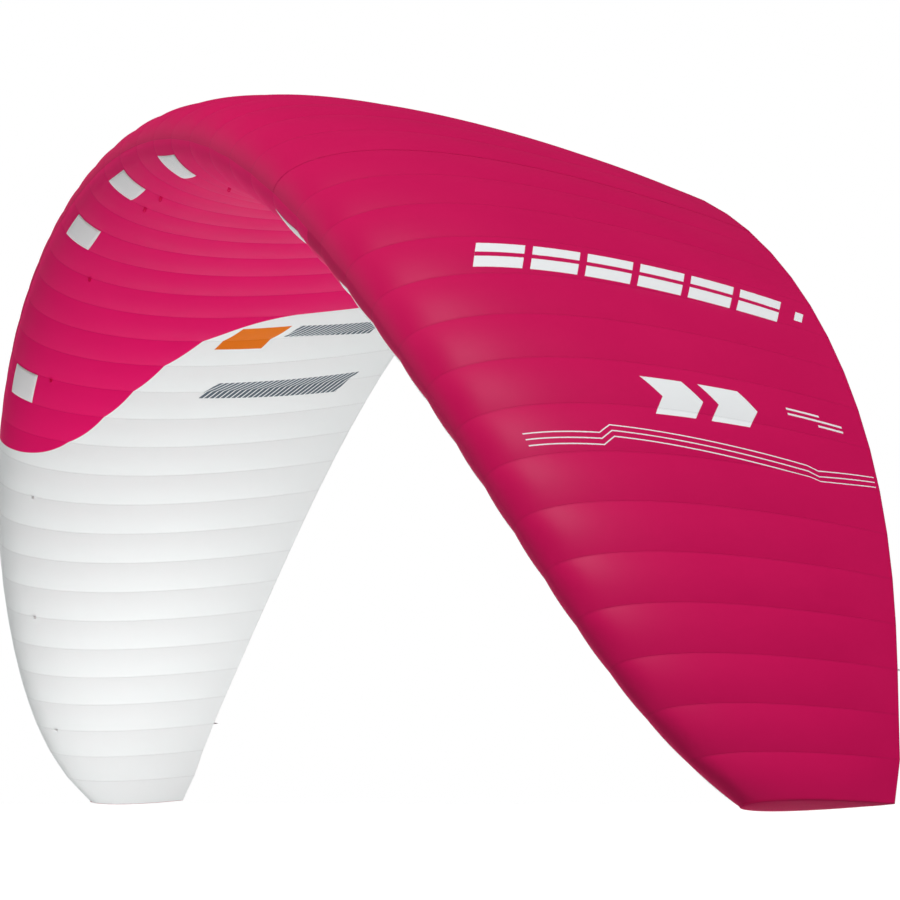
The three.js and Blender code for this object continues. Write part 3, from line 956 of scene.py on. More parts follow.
@dataclass(frozen=True)
class UpperArtwork:
    """Printed blocks, chevrons and pinstripes on the left half of the upper skin.

    Attributes:
        ink: Colour of the print.
        block_row: Stripe that the row of blocks is cut from.
        blocks: Number of blocks.
        block_gap: Gap between two blocks, as a share of their pitch.
        slot: Unprinted stripe along the middle of the blocks.
        end_mark: Small block after the row.
        chevron_cells: Cell numbers between which the chevrons lie.
        chevron_shares: Shares of the chord where the chevrons start.
        chevron_width: Width of a chevron along the chord.
        chevron_sweep: Share of the chord by which its arms lean forward for each cell.
        stripe_offsets: Distances of the pinstripes from the first one, in cells.
        stripe_half: Half the width of a pinstripe, in cells.
        stripe_edge: Half the width of its soft edge, in cells.
        stripe_route: Share of the chord and cell number at each end and jog of the first pinstripe.
        bars: Three thin bars beside the chevrons.
        nose_white: Colour of the cloth that wraps round the nose from the lower skin.
        nose_share: Share of the chord that it reaches.
        white_from: Cell number outside which it is white, on the right half.
    """

    ink: Colour = (0.83, 0.85, 0.86)
    block_row: Stripe = Stripe(12.05, 0.31, 0.205, 0.895, drift=0.13, growth=0.09, lean=-0.06)
    blocks: int = 6
    block_gap: float = 0.14
    slot: Stripe = Stripe(12.05, 0.055, 0.205, 0.895, drift=0.13, lean=-0.06)
    end_mark: Stripe = Stripe(12.12, 0.16, 0.93, 0.95, lean=-0.06)
    chevron_cells: tuple[float, float] = (14.85, 15.65)
    chevron_shares: tuple[float, ...] = (0.455, 0.595)
    chevron_width: float = 0.10
    chevron_sweep: float = 0.09
    stripe_offsets: tuple[float, ...] = (0.0, 0.115, 0.23)
    stripe_half: float = 0.011
    stripe_edge: float = 0.006
    stripe_route: tuple[tuple[float, float], ...] = (
        (0.09, 16.08), (0.256, 16.15), (0.288, 15.99), (0.79, 16.30), (0.82, 16.37), (0.99, 16.20),
    )
    bars: tuple[Stripe, ...] = (
        Stripe(15.02, 0.022, 0.78, 0.87),
        Stripe(15.14, 0.022, 0.78, 0.93),
        Stripe(15.26, 0.022, 0.86, 0.93),
    )
    nose_white: Colour = WHITE_CLOTH
    nose_share: float = 0.005
    white_from: float = 11.35

    def paint(self, shader: Shader, cell: Feed, share: Feed, base: Feed) -> Socket:
        """Prints the artwork over a base colour and returns the result.

        Args:
            shader: Material being built.
            cell: Cell number over the surface.
            share: Share of the chord over the surface.
            base: Colour to print on.

        Returns:
            The printed colour.
        """
        past = shader.rise(cell, CELL_EDGE - self.white_from, -CELL_EDGE - self.white_from)
        ahead = shader.rise(share, self.nose_share + SHARE_EDGE, self.nose_share - SHARE_EDGE)
        nose = shader.both(past, ahead)
        wrapped = shader.mix(nose, base, (*self.nose_white, 1))
        masks = [
            self.row(shader, cell, share),
            self.end_mark.mask(shader, cell, share),
            self.chevrons(shader, cell, share),
            self.pinstripes(shader, cell, share),
            *(bar.mask(shader, cell, share) for bar in self.bars),
        ]
        return shader.mix(shader.either(masks), wrapped, (*self.ink, 1))

    def row(self, shader: Shader, cell: Feed, share: Feed) -> Socket:
        """Row of plain slanted blocks, each slotted lengthwise.

        Args:
            shader: Material being built.
            cell: Cell number over the surface.
            share: Share of the chord over the surface.

        Returns:
            The mask.
        """
        stripe = self.block_row
        pitch = (stripe.end - stripe.start) / (self.blocks - self.block_gap)
        aft = shader.math("SUBTRACT", stripe.leaning(shader, cell, share), stripe.start)
        step = shader.math("FLOORED_MODULO", aft, pitch)
        bar = shader.band(step, 0.0, pitch * (1 - self.block_gap), SHARE_EDGE)
        slot = shader.without(self.slot.mask(shader, cell, share))
        return shader.both(shader.both(bar, slot), stripe.mask(shader, cell, share))

    def chevrons(self, shader: Shader, cell: Feed, share: Feed) -> Socket:
        """Plain chevrons that point aft.

        Args:
            shader: Material being built.
            cell: Cell number over the surface.
            share: Share of the chord over the surface.

        Returns:
            The mask.
        """
        low, high = self.chevron_cells
        off_centre = shader.math("ABSOLUTE", shader.math("SUBTRACT", cell, (low + high) / 2))
        swept = shader.math("MULTIPLY_ADD", off_centre, self.chevron_sweep, share)
        marks = [shader.band(swept, at, at + self.chevron_width, SHARE_EDGE) for at in self.chevron_shares]
        return shader.both(shader.either(marks), shader.band(cell, low, high, CELL_EDGE))

    def pinstripes(self, shader: Shader, cell: Feed, share: Feed) -> Socket:
        """Three pinstripes that follow one route with two jogs.

        Args:
            shader: Material being built.
            cell: Cell number over the surface.
            share: Share of the chord over the surface.

        Returns:
            The mask.
        """
        place = shader.math("SUBTRACT", cell, self.stripe_route[0][1])
        for (start, before), (end, after) in zip(self.stripe_route, self.stripe_route[1:]):
            part = shader.ramp(share, start, end)
            place = shader.math("MULTIPLY_ADD", part, before - after, place)
        half = self.stripe_half
        lines = [shader.band(place, at - half, at + half, self.stripe_edge) for at in self.stripe_offsets]
        ends = (self.stripe_route[0][0], self.stripe_route[-1][0])
        return shader.both(shader.either(lines), shader.band(share, *ends, SHARE_EDGE))


@dataclass(frozen=True)
class LowerArtwork:
    """White tips that meet the pink middle in a long curve, with stripes on the right half.

    Attributes:
        white: Colour of the tips.
        crimson: Colour of the cloth that wraps round the nose from the upper skin.
        grey: Colour of the hatching.
        orange: Colour of the plain block.
        inner_cell: Cell number that the curve nears at the trailing edge.
        outer_cell: Cell number that it nears at the nose.
        turn_share: Share of the chord in the middle of its turn.
        turn_length: How slowly it turns, as a share of the chord.
        hatched: Stripes filled with hatching.
        block: Plain block.
        hatch_pitch: Pitch of the hatching, as a share of the chord.
        hatch_slant: Share of the chord by which the hatching slants for each cell.
        nose_share: Share of the chord that the crimson cloth reaches.
        nose_from: Cell number outside which it shows, on the left half.
    """

    white: Colour = WHITE_CLOTH
    crimson: Colour = (0.56, 0.006, 0.092)
    grey: Colour = (0.105, 0.145, 0.175)
    orange: Colour = (0.80, 0.19, 0.012)
    inner_cell: float = 5.4
    outer_cell: float = 11.35
    turn_share: float = 0.305
    turn_length: float = 0.078
    hatched: tuple[Stripe, ...] = (
        Stripe(-6.16, 0.26, 0.640, 0.895, drift=-0.93, lean=0.05),
        Stripe(-8.41, 0.29, 0.495, 0.905, drift=-0.32, growth=0.12, lean=0.06),
    )
    block: Stripe = Stripe(-6.35, 0.43, 0.480, 0.605, growth=0.2, lean=0.052)
    hatch_pitch: float = 0.016
    hatch_slant: float = -0.10
    nose_share: float = 0.010
    nose_from: float = 10.0

    def paint(self, shader: Shader, cell: Feed, share: Feed, base: Feed) -> Socket:
        """Sets the white tips and the stripes into a base colour and returns the result.

        Args:
            shader: Material being built.
            cell: Cell number over the surface.
            share: Share of the chord over the surface.
            base: Colour to set them into.

        Returns:
            The finished colour.
        """
        two = shader.mix(self.tips(shader, cell, share), base, (*self.white, 1))
        past = shader.rise(cell, self.nose_from - CELL_EDGE, self.nose_from + CELL_EDGE)
        ahead = shader.rise(share, self.nose_share + SHARE_EDGE, self.nose_share - SHARE_EDGE)
        nose = shader.both(past, ahead)
        wrapped = shader.mix(nose, two, (*self.crimson, 1))
        lines = shader.math("MULTIPLY_ADD", cell, self.hatch_slant, share)
        wave = shader.math("PINGPONG", lines, self.hatch_pitch / 2)
        hatch = shader.rise(wave, self.hatch_pitch * 0.10, self.hatch_pitch * 0.18)
        inked = shader.either([stripe.mask(shader, cell, share) for stripe in self.hatched])
        three = shader.mix(shader.both(inked, hatch), wrapped, (*self.grey, 1))
        return shader.mix(self.block.mask(shader, cell, share), three, (*self.orange, 1))

    def tips(self, shader: Shader, cell: Feed, share: Feed) -> Socket:
        """Mask of the white tips.

        Args:
            shader: Material being built.
            cell: Cell number over the surface.
            share: Share of the chord over the surface.

        Returns:
            The mask.
        """
        spread = shader.math("ABSOLUTE", cell)
        power = shader.math("DIVIDE", shader.math("SUBTRACT", share, self.turn_share), self.turn_length)
        growth = shader.math("EXPONENT", power)
        reach = shader.math("DIVIDE", self.outer_cell - self.inner_cell, shader.math("ADD", growth, 1.0))
        past = shader.math("SUBTRACT", shader.math("SUBTRACT", spread, self.inner_cell), reach)
        return shader.rise(past, -CELL_EDGE, CELL_EDGE)


@dataclass(frozen=True)
class Gauze:
    """White intake mesh, knitted with small round holes, which are painted grey: painted shade of the dim
    inside seen through them.

    Attributes:
        colour: Colour of the yarn.
        hole: Painted shade in each hole, a grey that stands for the dim inside of the kite seen through it.
        pitch: Distance from hole to hole.
        hole_edge: Where a hole starts and ends, as the squared distance from its middle.
        hole_depth: Depth of a hole.
        roughness: Roughness of the yarn.
    """

    colour: Colour = (0.90, 0.91, 0.91)
    hole: Colour = (0.62, 0.63, 0.64)
    pitch: float = 0.004
    hole_edge: tuple[float, float] = (0.45, 0.25)
    hole_depth: float = 0.0003
    roughness: float = 0.75

    def material(self) -> bpy.types.Material:
        """Builds the material.

        Returns:
            The material.
        """
        shader = Shader("intake mesh")
        _, across, along = shader.map(CLOTH_MAP)
        dots = []
        for place in (across, along):
            wave = shader.math("PINGPONG", place, self.pitch / 2)
            dots.append(shader.math("POWER", shader.math("DIVIDE", wave, self.pitch / 2), 2.0))
        round_hole = shader.rise(shader.math("ADD", *dots), *self.hole_edge)
        # Painted shade: the holes are coloured grey for the dim inside of the kite seen through them.
        shader.set(Base_Color=shader.mix(round_hole, (*self.colour, 1), (*self.hole, 1)))
        shader.set(Normal=shader.bump(round_hole, self.hole_depth, -0.6))
        shader.set(Roughness=self.roughness, Specular_IOR_Level=0.2)
        return shader.material


@dataclass(frozen=True)
class Woven:
    """Plain woven cloth or webbing, with fine ribs of yarn.

    Attributes:
        name: Name of the material.
        colour: Its colour.
        yarn: Distance between two ribs of yarn.
        roughness: Its roughness.
        wave_length: Distance over which the pattern repeats at a scale of 1.
        waver: How much the yarn wavers.
        yarn_height: Height of the yarn.
        dark_tone: Tone between the ribs of yarn, as a share of the colour.
        light_tone: Tone where the yarn is worn, as a share of the colour.
    """

    name: str
    colour: Colour
    yarn: float = 0.0008
    roughness: float = 0.75
    wave_length: float = 0.314
    waver: float = 0.6
    yarn_height: float = 0.0002
    dark_tone: float = 0.6
    light_tone: float = 1.25

    def material(self) -> bpy.types.Material:
        """Builds the material.

        Returns:
            The material.
        """
        shader = Shader(self.name)
        place = shader.object_place()
        waves = []
        for direction in ("X", "Y", "Z"):
            node = shader.tree.nodes.new("ShaderNodeTexWave")
            node.bands_direction = direction
            shader.link(place, node.inputs["Vector"])
            node.inputs["Scale"].default_value = self.wave_length / self.yarn
            node.inputs["Distortion"].default_value = self.waver
            waves.append(node.outputs[1])
        weave = shader.math("MULTIPLY_ADD", waves[0], 0.5, shader.math("MULTIPLY", waves[1], waves[2]))
        dark = tuple(c * self.dark_tone for c in self.colour)
        wear = shader.rise(shader.noise(place, 30.0, 4.0), 0.3, 0.8)
        tone = shader.mix(shader.math("MULTIPLY", weave, 0.5), (*self.colour, 1), (*dark, 1))
        light = tuple(min(1.0, c * self.light_tone + 0.01) for c in self.colour)
        shader.set(Base_Color=shader.mix(shader.math("MULTIPLY", wear, 0.3), tone, (*light, 1)))
        shader.set(Normal=shader.bump(weave, self.yarn_height, 0.5))
        shader.set(Roughness=self.roughness, Specular_IOR_Level=0.25)
        return shader.material


@dataclass(frozen=True)
class SliderMetal:
    """Satin grey zinc of the zip slider.

    Attributes:
        colour: Colour of the clean metal.
        scuff_scale: Scale of the scuffs.
        scuff_depth: Depth of the scuffs.
        smoothest: Roughness where there is no scuff.
        dark_tone: Tone of the tarnish, as a share of the colour.
    """

    colour: Colour = (0.40, 0.41, 0.43)
    scuff_scale: float = 320.0
    scuff_depth: float = 0.0001
    smoothest: float = 0.25
    dark_tone: float = 0.7

    def material(self) -> bpy.types.Material:
        """Builds the material.

        Returns:
            The material.
        """
        shader = Shader("slider metal")
        place = shader.object_place()
        scuffs = shader.noise(shader.stretched(place, (1.0, 6.0, 1.0)), self.scuff_scale, 4.0)
        rough = shader.math("MULTIPLY_ADD", scuffs, 0.25, self.smoothest)
        dark = tuple(c * self.dark_tone for c in self.colour)
        shader.set(Base_Color=shader.mix(scuffs, (*dark, 1), (*self.colour, 1)), Roughness=rough)
        shader.set(Metallic=0.95, Normal=shader.bump(scuffs, self.scuff_depth, 0.25))
        return shader.material


@dataclass(frozen=True)
class Finishes:
    """One material for each finish of the kite."""

    upper: bpy.types.Material
    lower: bpy.types.Material
    edge: bpy.types.Material
    rib: bpy.types.Material
    valve: bpy.types.Material
    gauze: bpy.types.Material
    webbing: bpy.types.Material
    pink_webbing: bpy.types.Material
    zip_tape: bpy.types.Material
    zip_teeth: bpy.types.Material
    metal: bpy.types.Material


def make_finishes() -> Finishes:
    """Builds every material once.

    Returns:
        The finishes.
    """
    crimson = (0.57, 0.006, 0.093)
    deep_crimson = (0.55, 0.005, 0.089)
    pink = (0.80, 0.005, 0.140)
    deep_pink = (0.78, 0.005, 0.136)
    shade_white = (0.84, 0.855, 0.86)
    return Finishes(
        upper=Ripstop("upper cloth", crimson, deep_crimson, artwork=UpperArtwork().paint).material(),
        lower=Ripstop("lower cloth", pink, deep_pink, artwork=LowerArtwork().paint).material(),
        edge=Ripstop("edge cloth", crimson, deep_crimson, crease=0.001).material(),
        rib=Ripstop("rib cloth", WHITE_CLOTH, shade_white, crease=0.0005).material(),
        valve=Ripstop("valve cloth", shade_white, (0.70, 0.72, 0.75), crease=0.001).material(),
        gauze=Gauze().material(),
        webbing=Woven("webbing", WHITE_CLOTH).material(),
        pink_webbing=Woven("pink webbing", (0.88, 0.010, 0.165)).material(),
        zip_tape=Woven("zip tape", (0.040, 0.040, 0.045), yarn=0.0006).material(),
        zip_teeth=Woven("zip teeth", (0.022, 0.022, 0.025), yarn=0.0015, roughness=0.4).material(),
        metal=SliderMetal().material(),
    )


# ---------------------------------------------------------------- skins


@dataclass
class SkinPanels:
    """Upper and lower skins, each in a middle panel and two tip panels that end at a rib seam.

    Attributes:
        shape: Shape of the canopy.
        finishes: Materials.
        folds: Brake folds of both halves.
        columns: Columns of faces in a cell.
        rows: Rows of faces along the chord.
        cloth: Thickness of the cloth.
        opening_rows: Rows between which an intake's opening lies.
        opening_margin: Columns of cloth left on each side of an opening.
    """

    shape: CanopyShape
    finishes: Finishes
    folds: dict[Side, BrakeFold]
    columns: int = 10
    rows: int = 50
    cloth: float = 0.0005
    opening_rows: tuple[int, int] = (6, 11)
    opening_margin: int = 1

    def build(self) -> None:
        """Makes all six panels."""
        split = self.shape.skin_split
        tip = self.shape.tip
        for face in Face:
            self.panel(face, None, -split, split)
            self.panel(face, Side.LEFT, split, tip)
            self.panel(face, Side.RIGHT, -tip, -split)

    def panel(self, face: Face, side: Optional[Side], start: float, end: float) -> None:
        """Makes one panel.

        Args:
            face: Which skin it is cut for.
            side: Half of the kite, or None for the middle panel.
            start: Cell number of its first rib.
            end: Cell number of its last rib.
        """
        cells = np.linspace(start, end, round((end - start) * self.columns) + 1)
        places = face.value * np.linspace(0, 1, self.rows + 1)
        points = self.shape.surface(cells, places)
        mesh = grid_mesh(points)
        add_map(mesh, CELL_MAP, cell_map(cells, places))
        add_map(mesh, CLOTH_MAP, cloth_map(points))
        mark_seams(mesh, self.rows + 1, self.columns)
        if face is Face.LOWER:
            self.cut_openings(mesh, start, end)
        middle = (start + end) / 2
        face_outwards(mesh, self.shape.inside(middle, self.shape.chord(middle) / 3))
        area = sheet_area(mesh)
        label = side.label if side else "middle"
        finish = self.finishes.upper if face is Face.UPPER else self.finishes.lower
        piece = make_piece(f"{face.label}_cloth_{label}", mesh, finish)
        thicken(piece, self.cloth)
        if side is None:
            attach(piece, CANOPY)
            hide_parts(f"{face.label}_skin_middle")
        else:
            self.folds[side].bend(piece)
            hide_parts(f"{face.label}_skin_{label}", f"brake_corner_{face.label}_{label}")
        self.slot(piece, face, side)

    def slot(self, piece: bpy.types.Object, face: Face, side: Optional[Side]) -> None:
        """Takes a panel and does nothing with it.

        Args:
            piece: The panel; not used.
            face: Which skin it is cut for; not used.
            side: Half of the kite, or None for the middle panel; not used.
        """

    def cut_openings(self, mesh: bmesh.types.BMesh, start: float, end: float) -> None:
        """Cuts the intakes' openings out of a lower panel.

        Args:
            mesh: Grid of the panel.
            start: Cell number of its first rib.
            end: Cell number of its last rib; not used.
        """
        first_row, last_row = self.opening_rows
        mesh.verts.ensure_lookup_table()
        doomed = []
        for face in mesh.faces:
            indices = [vertex.index for vertex in face.verts]
            column = min(index // (self.rows + 1) for index in indices)
            row = min(index % (self.rows + 1) for index in indices)
            cell = start + column / self.columns
            number = round(cell + 0.5 / self.columns)
            in_cell = round((cell - (number - 0.5)) * self.columns)
            inside = self.opening_margin <= in_cell < self.columns - self.opening_margin
            if number in self.shape.intake_cells and inside and first_row <= row < last_row:
                doomed.append(face)
        if doomed:
            bmesh.ops.delete(mesh, geom=doomed, context="FACES")


def mark_seams(mesh: bmesh.types.BMesh, stride: int, columns: int) -> None:
    """Lets the light break at every rib seam of a sheet and at its edges.

    Args:
        mesh: Sheet made by grid_mesh.
        stride: Number of points in a column.
        columns: Number of columns from one rib to the next.
    """
    for edge in mesh.edges:
        first, second = (vertex.index // stride for vertex in edge.verts)
        if edge.is_boundary or (first == second and first % columns == 0):
            edge.smooth = False


def cell_map(cells: np.ndarray, places: np.ndarray) -> np.ndarray:
    """Cell number and share of the chord for each point of a grid."""
    across, along = np.meshgrid(cells, places**2, indexing="ij")
    return np.stack([across, along], axis=2).reshape(-1, 2)


def cloth_map(points: np.ndarray) -> np.ndarray:
    """Distances over the cloth, along the span and along the chord, for each point of a grid.

    Args:
        points: Array indexed by column, row and axis.

    Returns:
        Two numbers for each point, column by column.
    """
    spanwise = np.linalg.norm(np.diff(points, axis=0), axis=2)
    across = np.vstack([np.zeros((1, points.shape[1])), np.cumsum(spanwise, axis=0)])
    across = np.repeat(across.mean(axis=1, keepdims=True), points.shape[1], axis=1)
    chordwise = np.linalg.norm(np.diff(points, axis=1), axis=2)
    along = np.hstack([np.zeros((points.shape[0], 1)), np.cumsum(chordwise, axis=1)])
    return np.stack([across, along], axis=2).reshape(-1, 2)


@dataclass
class TrailingHems:
    """Folded tape over the trailing edge, sewn through both skins."""

    shape: CanopyShape
    finishes: Finishes
    folds: dict[Side, BrakeFold]
    width: float = 0.012
    lift: float = 0.0006
    columns: int = 10
    wrap_rows: int = 4
    tape: float = 0.0006
    inside_gap: float = 0.1

    def build(self) -> None:
        """Makes the middle hem and the two tip hems."""
        split = self.shape.skin_split
        tip = self.shape.tip
        for label, start, end in (("middle", -split, split), ("left", split, tip), ("right", -tip, -split)):
            self.hem(label, start, end)

    def hem(self, label: str, start: float, end: float) -> None:
        """Makes the hem between two ribs.

        Args:
            label: Word in the hem's name.
            start: Cell number of its first rib.
            end: Cell number of its last rib.
        """
        cells = np.linspace(start, end, round((end - start) * self.columns) + 1)
        inset = 1 - self.width / 2 / self.shape.root_chord
        inner = np.linspace(inset, 1, self.wrap_rows)
        upper = self.shape.surface(cells, inner, lift=self.lift)
        lower = self.shape.surface(cells, -inner[::-1], lift=self.lift)
        points = np.concatenate([upper, lower], axis=1)
        mesh = grid_mesh(points)
        places = np.concatenate([inner, -inner[::-1]])
        add_map(mesh, CELL_MAP, cell_map(cells, places))
        add_map(mesh, CLOTH_MAP, cloth_map(points))
        mark_seams(mesh, len(places), self.columns)
        for face in mesh.faces:
            first = min(vertex.index % len(places) for vertex in face.verts)
            face.material_index = int(first >= len(inner))
        middle = (start + end) / 2
        face_outwards(mesh, self.shape.inside(middle, self.shape.chord(middle) - self.inside_gap))
        area = sheet_area(mesh)
        piece = make_piece(f"trailing_hem_{label}", mesh, self.finishes.edge)
        piece.data.materials.append(self.finishes.lower)
        thicken(piece, self.tape)
        if label == "middle":
            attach(piece, CANOPY)
        else:
            self.folds[Side[label.upper()]].bend(piece)


# ---------------------------------------------------------------- ribs and tip panels


@dataclass
class Ribs:
    """Ribs that hold the skins apart, each with three round ports."""

    shape: CanopyShape
    finishes: Finishes
    folds: dict[Side, BrakeFold]
    ports: tuple[float, ...] = (0.15, 0.33, 0.55)
    port_radius: float = 0.3
    port_sides: int = 24
    outline_steps: int = 40
    last_place: float = 0.99
    inset: float = 0.0016
    cloth: float = 0.0005
    tail_rib: int = 21

    def build(self) -> None:
        """Makes the ribs of both halves, short of the tip panels."""
        for side in Side:
            for number in range(1, int(self.shape.tip) + 1):
                self.rib(side, number)

    def rib(self, side: Side, number: int) -> None:
        """Makes one rib.

        Args:
            side: Half of the kite.
            number: Rib number, counted from the middle.
        """
        cell = side.value * (number - 0.5)
        mesh = self.plate(cell)
        area = sheet_area(mesh)
        chord = self.shape.chord(cell)
        height = self.shape.height(cell, self.shape.thickest)
        label = f"{number:02d}_{side.label}"
        piece = make_piece(f"rib_cloth_{label}", mesh, self.finishes.rib, smooth=False)
        thicken(piece, self.cloth, offset=0.0)
        fold = self.folds[side]
        if number >= fold.first_rib:
            fold.bend(piece)
        else:
            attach(piece, CANOPY)
        if number in self.shape.loaded_ribs:
            nodes = [f"rib_{label}"]
            if number == self.tail_rib:
                nodes.append(f"rib_tail_{label}")
            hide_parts(*nodes)

    def plate(self, cell: float) -> bmesh.types.BMesh:
        """Flat rib with its ports, in its place.

        Args:
            cell: Cell number of the rib.

        Returns:
            The mesh.
        """
        chord = self.shape.chord(cell)
        places = np.linspace(-self.last_place, self.last_place, 2 * self.outline_steps + 1)
        flat, out = self.shape.outline(cell, places)
        edge = flat - out * self.inset
        mesh = bmesh.new()
        add_loop(mesh, edge)
        for share in self.ports:
            bmesh.ops.create_circle(mesh, cap_ends=False, segments=self.port_sides,
                                    radius=self.port_radius * self.shape.height(cell, share),
                                    matrix=Matrix.Translation((share * chord, 0, 0)))
        bmesh.ops.triangle_fill(mesh, use_beauty=True, edges=mesh.edges[:], normal=(0, 0, 1))
        flat_places = np.array([vertex.co.xy for vertex in mesh.verts])
        mesh.verts.index_update()
        add_map(mesh, CELL_MAP, np.stack([np.zeros(len(flat_places)), flat_places[:, 0] / chord], axis=1))
        add_map(mesh, CLOTH_MAP, flat_places)
        mesh.transform(self.shape.station(cell))
        mesh.normal_update()
        return mesh


@dataclass
class TipPanels:
    """Cloth that closes each tip, slightly domed by the air behind it.

    Attributes:
        shape: Shape of the canopy.
        finishes: Materials.
        folds: Brake folds of both halves.
        dome: Height of the dome.
        dome_limit: Greatest height of the dome, as a share of the section's height.
        stand_off: Distance of the panel outside the ends of the skins.
        chord_steps: Steps along the chord.
        height_steps: Steps from the lower edge to the upper one.
        cloth: Thickness of the cloth.
        inside_aft: Distance behind the nose of a point inside the tip.
        dome_spare: Height of the cut panel, as a share of the section's height; not used.
    """

    shape: CanopyShape
    finishes: Finishes
    folds: dict[Side, BrakeFold]
    dome: float = 0.003
    dome_limit: float = 0.12
    stand_off: float = 0.0006
    chord_steps: int = 40
    height_steps: int = 8
    cloth: float = 0.0005
    inside_aft: float = 0.15
    dome_spare: float = 1.05

    def build(self) -> None:
        """Makes both tip panels."""
        for side in Side:
            self.panel(side)

    def points(self, side: Side) -> np.ndarray:
        """Points of one tip's panel, from the lower edge to the upper one at each place.

        Args:
            side: Half of the kite.

        Returns:
            Array indexed by place, step and axis.
        """
        cell = side.value * self.shape.tip
        places = np.linspace(0.0, 1.0, self.chord_steps + 1)
        upper, _ = self.shape.outline(cell, places)
        lower, _ = self.shape.outline(cell, -places)
        lower[0] = upper[0]
        steps = np.linspace(0, 1, self.height_steps + 1)
        placement = self.shape.station(cell)
        points = np.zeros((len(places), len(steps), 3))
        for i in range(len(places)):
            height = float(np.linalg.norm(upper[i] - lower[i]))
            for j, step in enumerate(steps):
                x, y = lower[i] * (1 - step) + upper[i] * step
                rise = min(self.dome, height * self.dome_limit) * (1 - (2 * step - 1) ** 2)
                points[i, j] = placement @ Vector((x, y, side.value * (self.stand_off + rise)))
        return points

    def panel(self, side: Side) -> None:
        """Makes the panel of one tip.

        Args:
            side: Half of the kite.
        """
        cell = side.value * self.shape.tip
        points = self.points(side)
        mesh = grid_mesh(points)
        add_map(mesh, CELL_MAP, np.zeros((len(mesh.verts), 2)))
        add_map(mesh, CLOTH_MAP, cloth_map(points))
        bmesh.ops.remove_doubles(mesh, verts=mesh.verts[:], dist=SAME_PLACE)
        face_outwards(mesh, self.shape.inside(side.value * (self.shape.tip - 1), self.inside_aft))
        area = sheet_area(mesh)
        chord = self.shape.chord(cell)
        height = self.shape.height(cell, self.shape.thickest)
        piece = make_piece(f"tip_cloth_{side.label}", mesh, self.finishes.edge)
        thicken(piece, self.cloth)
        self.folds[side].bend(piece)
        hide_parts(f"tip_panel_{side.label}", f"tip_panel_tail_{side.label}")


# ---------------------------------------------------------------- intakes


@dataclass
class Intakes:
    """Meshed openings behind the nose, each with a valve flap inside.

    Attributes:
        shape: Shape of the canopy.
        finishes: Materials.
        front: How far behind the nose the mesh starts, as a place on the lower skin.
        rear: How far behind the nose the mesh ends, as a place on the lower skin.
        edge_margin: Distance of the mesh from the rib seams.
        gauze_lift: Distance of the mesh outside the skin.
        cloth: Thickness of the mesh and the flap.
        inside_aft: Distance behind the nose of a point inside the cell.
        flap_margin: Distance of the flap from the rib seams.
        flap_overlap: Distance by which the flap reaches past the mesh at each end.
        flap_depth: Distance of the flap inside the skin.
        steps: Steps across and along a piece of cloth.
    """

    shape: CanopyShape
    finishes: Finishes
    front: float = 0.10
    rear: float = 0.24
    edge_margin: float = 0.004
    gauze_lift: float = 0.0012
    cloth: float = 0.0006
    inside_aft: float = 0.5
    flap_margin: float = 0.009
    flap_overlap: float = 0.008
    flap_depth: float = 0.0050
    steps: int = 10

    def build(self) -> None:
        """Makes every intake."""
        for cell in self.shape.intake_cells:
            name = self.label(cell)
            self.gauze(cell, name)
            self.flap(cell, name)

    def label(self, cell: int) -> str:
        """Name of an intake's place.

        Args:
            cell: Cell number of the intake.

        Returns:
            The word or words in the names of its pieces.
        """
        if cell == 0:
            return "middle"
        return f"{abs(cell):02d}_{Side(int(math.copysign(1, cell))).label}"

    def gauze(self, cell: int, name: str) -> None:
        """Makes the mesh that covers an opening from outside.

        Args:
            cell: Cell number of the intake.
            name: Word for the intake's place.
        """
        edge = 0.5 - self.edge_margin / self.shape.cell_width(cell)
        cells = np.linspace(cell - edge, cell + edge, self.steps + 1)
        places = -np.linspace(self.front, self.rear, self.steps + 1)
        points = self.shape.surface(cells, places, lift=self.gauze_lift)
        piece = self.patch(f"intake_gauze_{name}", cells, places, points, self.finishes.gauze)
        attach(piece, CANOPY)
        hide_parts(f"intake_mesh_{name}")

    def flap(self, cell: int, name: str) -> None:
        """Makes the valve flap that lies over an opening from inside.

        Args:
            cell: Cell number of the intake.
            name: Word for the intake's place.
        """
        edge = 0.5 - self.flap_margin / self.shape.cell_width(cell)
        cells = np.linspace(cell - edge, cell + edge, self.steps + 1)
        front = self.shape.place_along(cell, -self.front, self.flap_overlap)
        rear = self.shape.place_along(cell, -self.rear, -self.flap_overlap)
        places = np.linspace(front, rear, self.steps + 1)
        points = self.shape.surface(cells, places, lift=-self.flap_depth, billowed=False)
        piece = self.patch(f"valve_cloth_{name}", cells, places, points, self.finishes.valve)
        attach(piece, f"valve_{name}")
        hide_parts(f"valve_flap_{name}")

    def patch(self, name: str, cells: np.ndarray, places: np.ndarray, points: np.ndarray,
              material: bpy.types.Material) -> bpy.types.Object:
        """Makes a piece of cloth that follows the lower skin.

        Args:
            name: Name of the piece.
            cells: Cell numbers of its columns.
            places: Places of its rows.
            points: Its points, indexed by column, row and axis.
            material: Its material.

        Returns:
            The piece.
        """
        mesh = grid_mesh(points)
        add_map(mesh, CELL_MAP, cell_map(cells, places))
        add_map(mesh, CLOTH_MAP, cloth_map(points))
        face_outwards(mesh, self.shape.inside(float(cells.mean()), self.inside_aft))
        area = sheet_area(mesh)
        piece = make_piece(name, mesh, material)
        thicken(piece, self.cloth)
        return piece


# ---------------------------------------------------------------- webbing


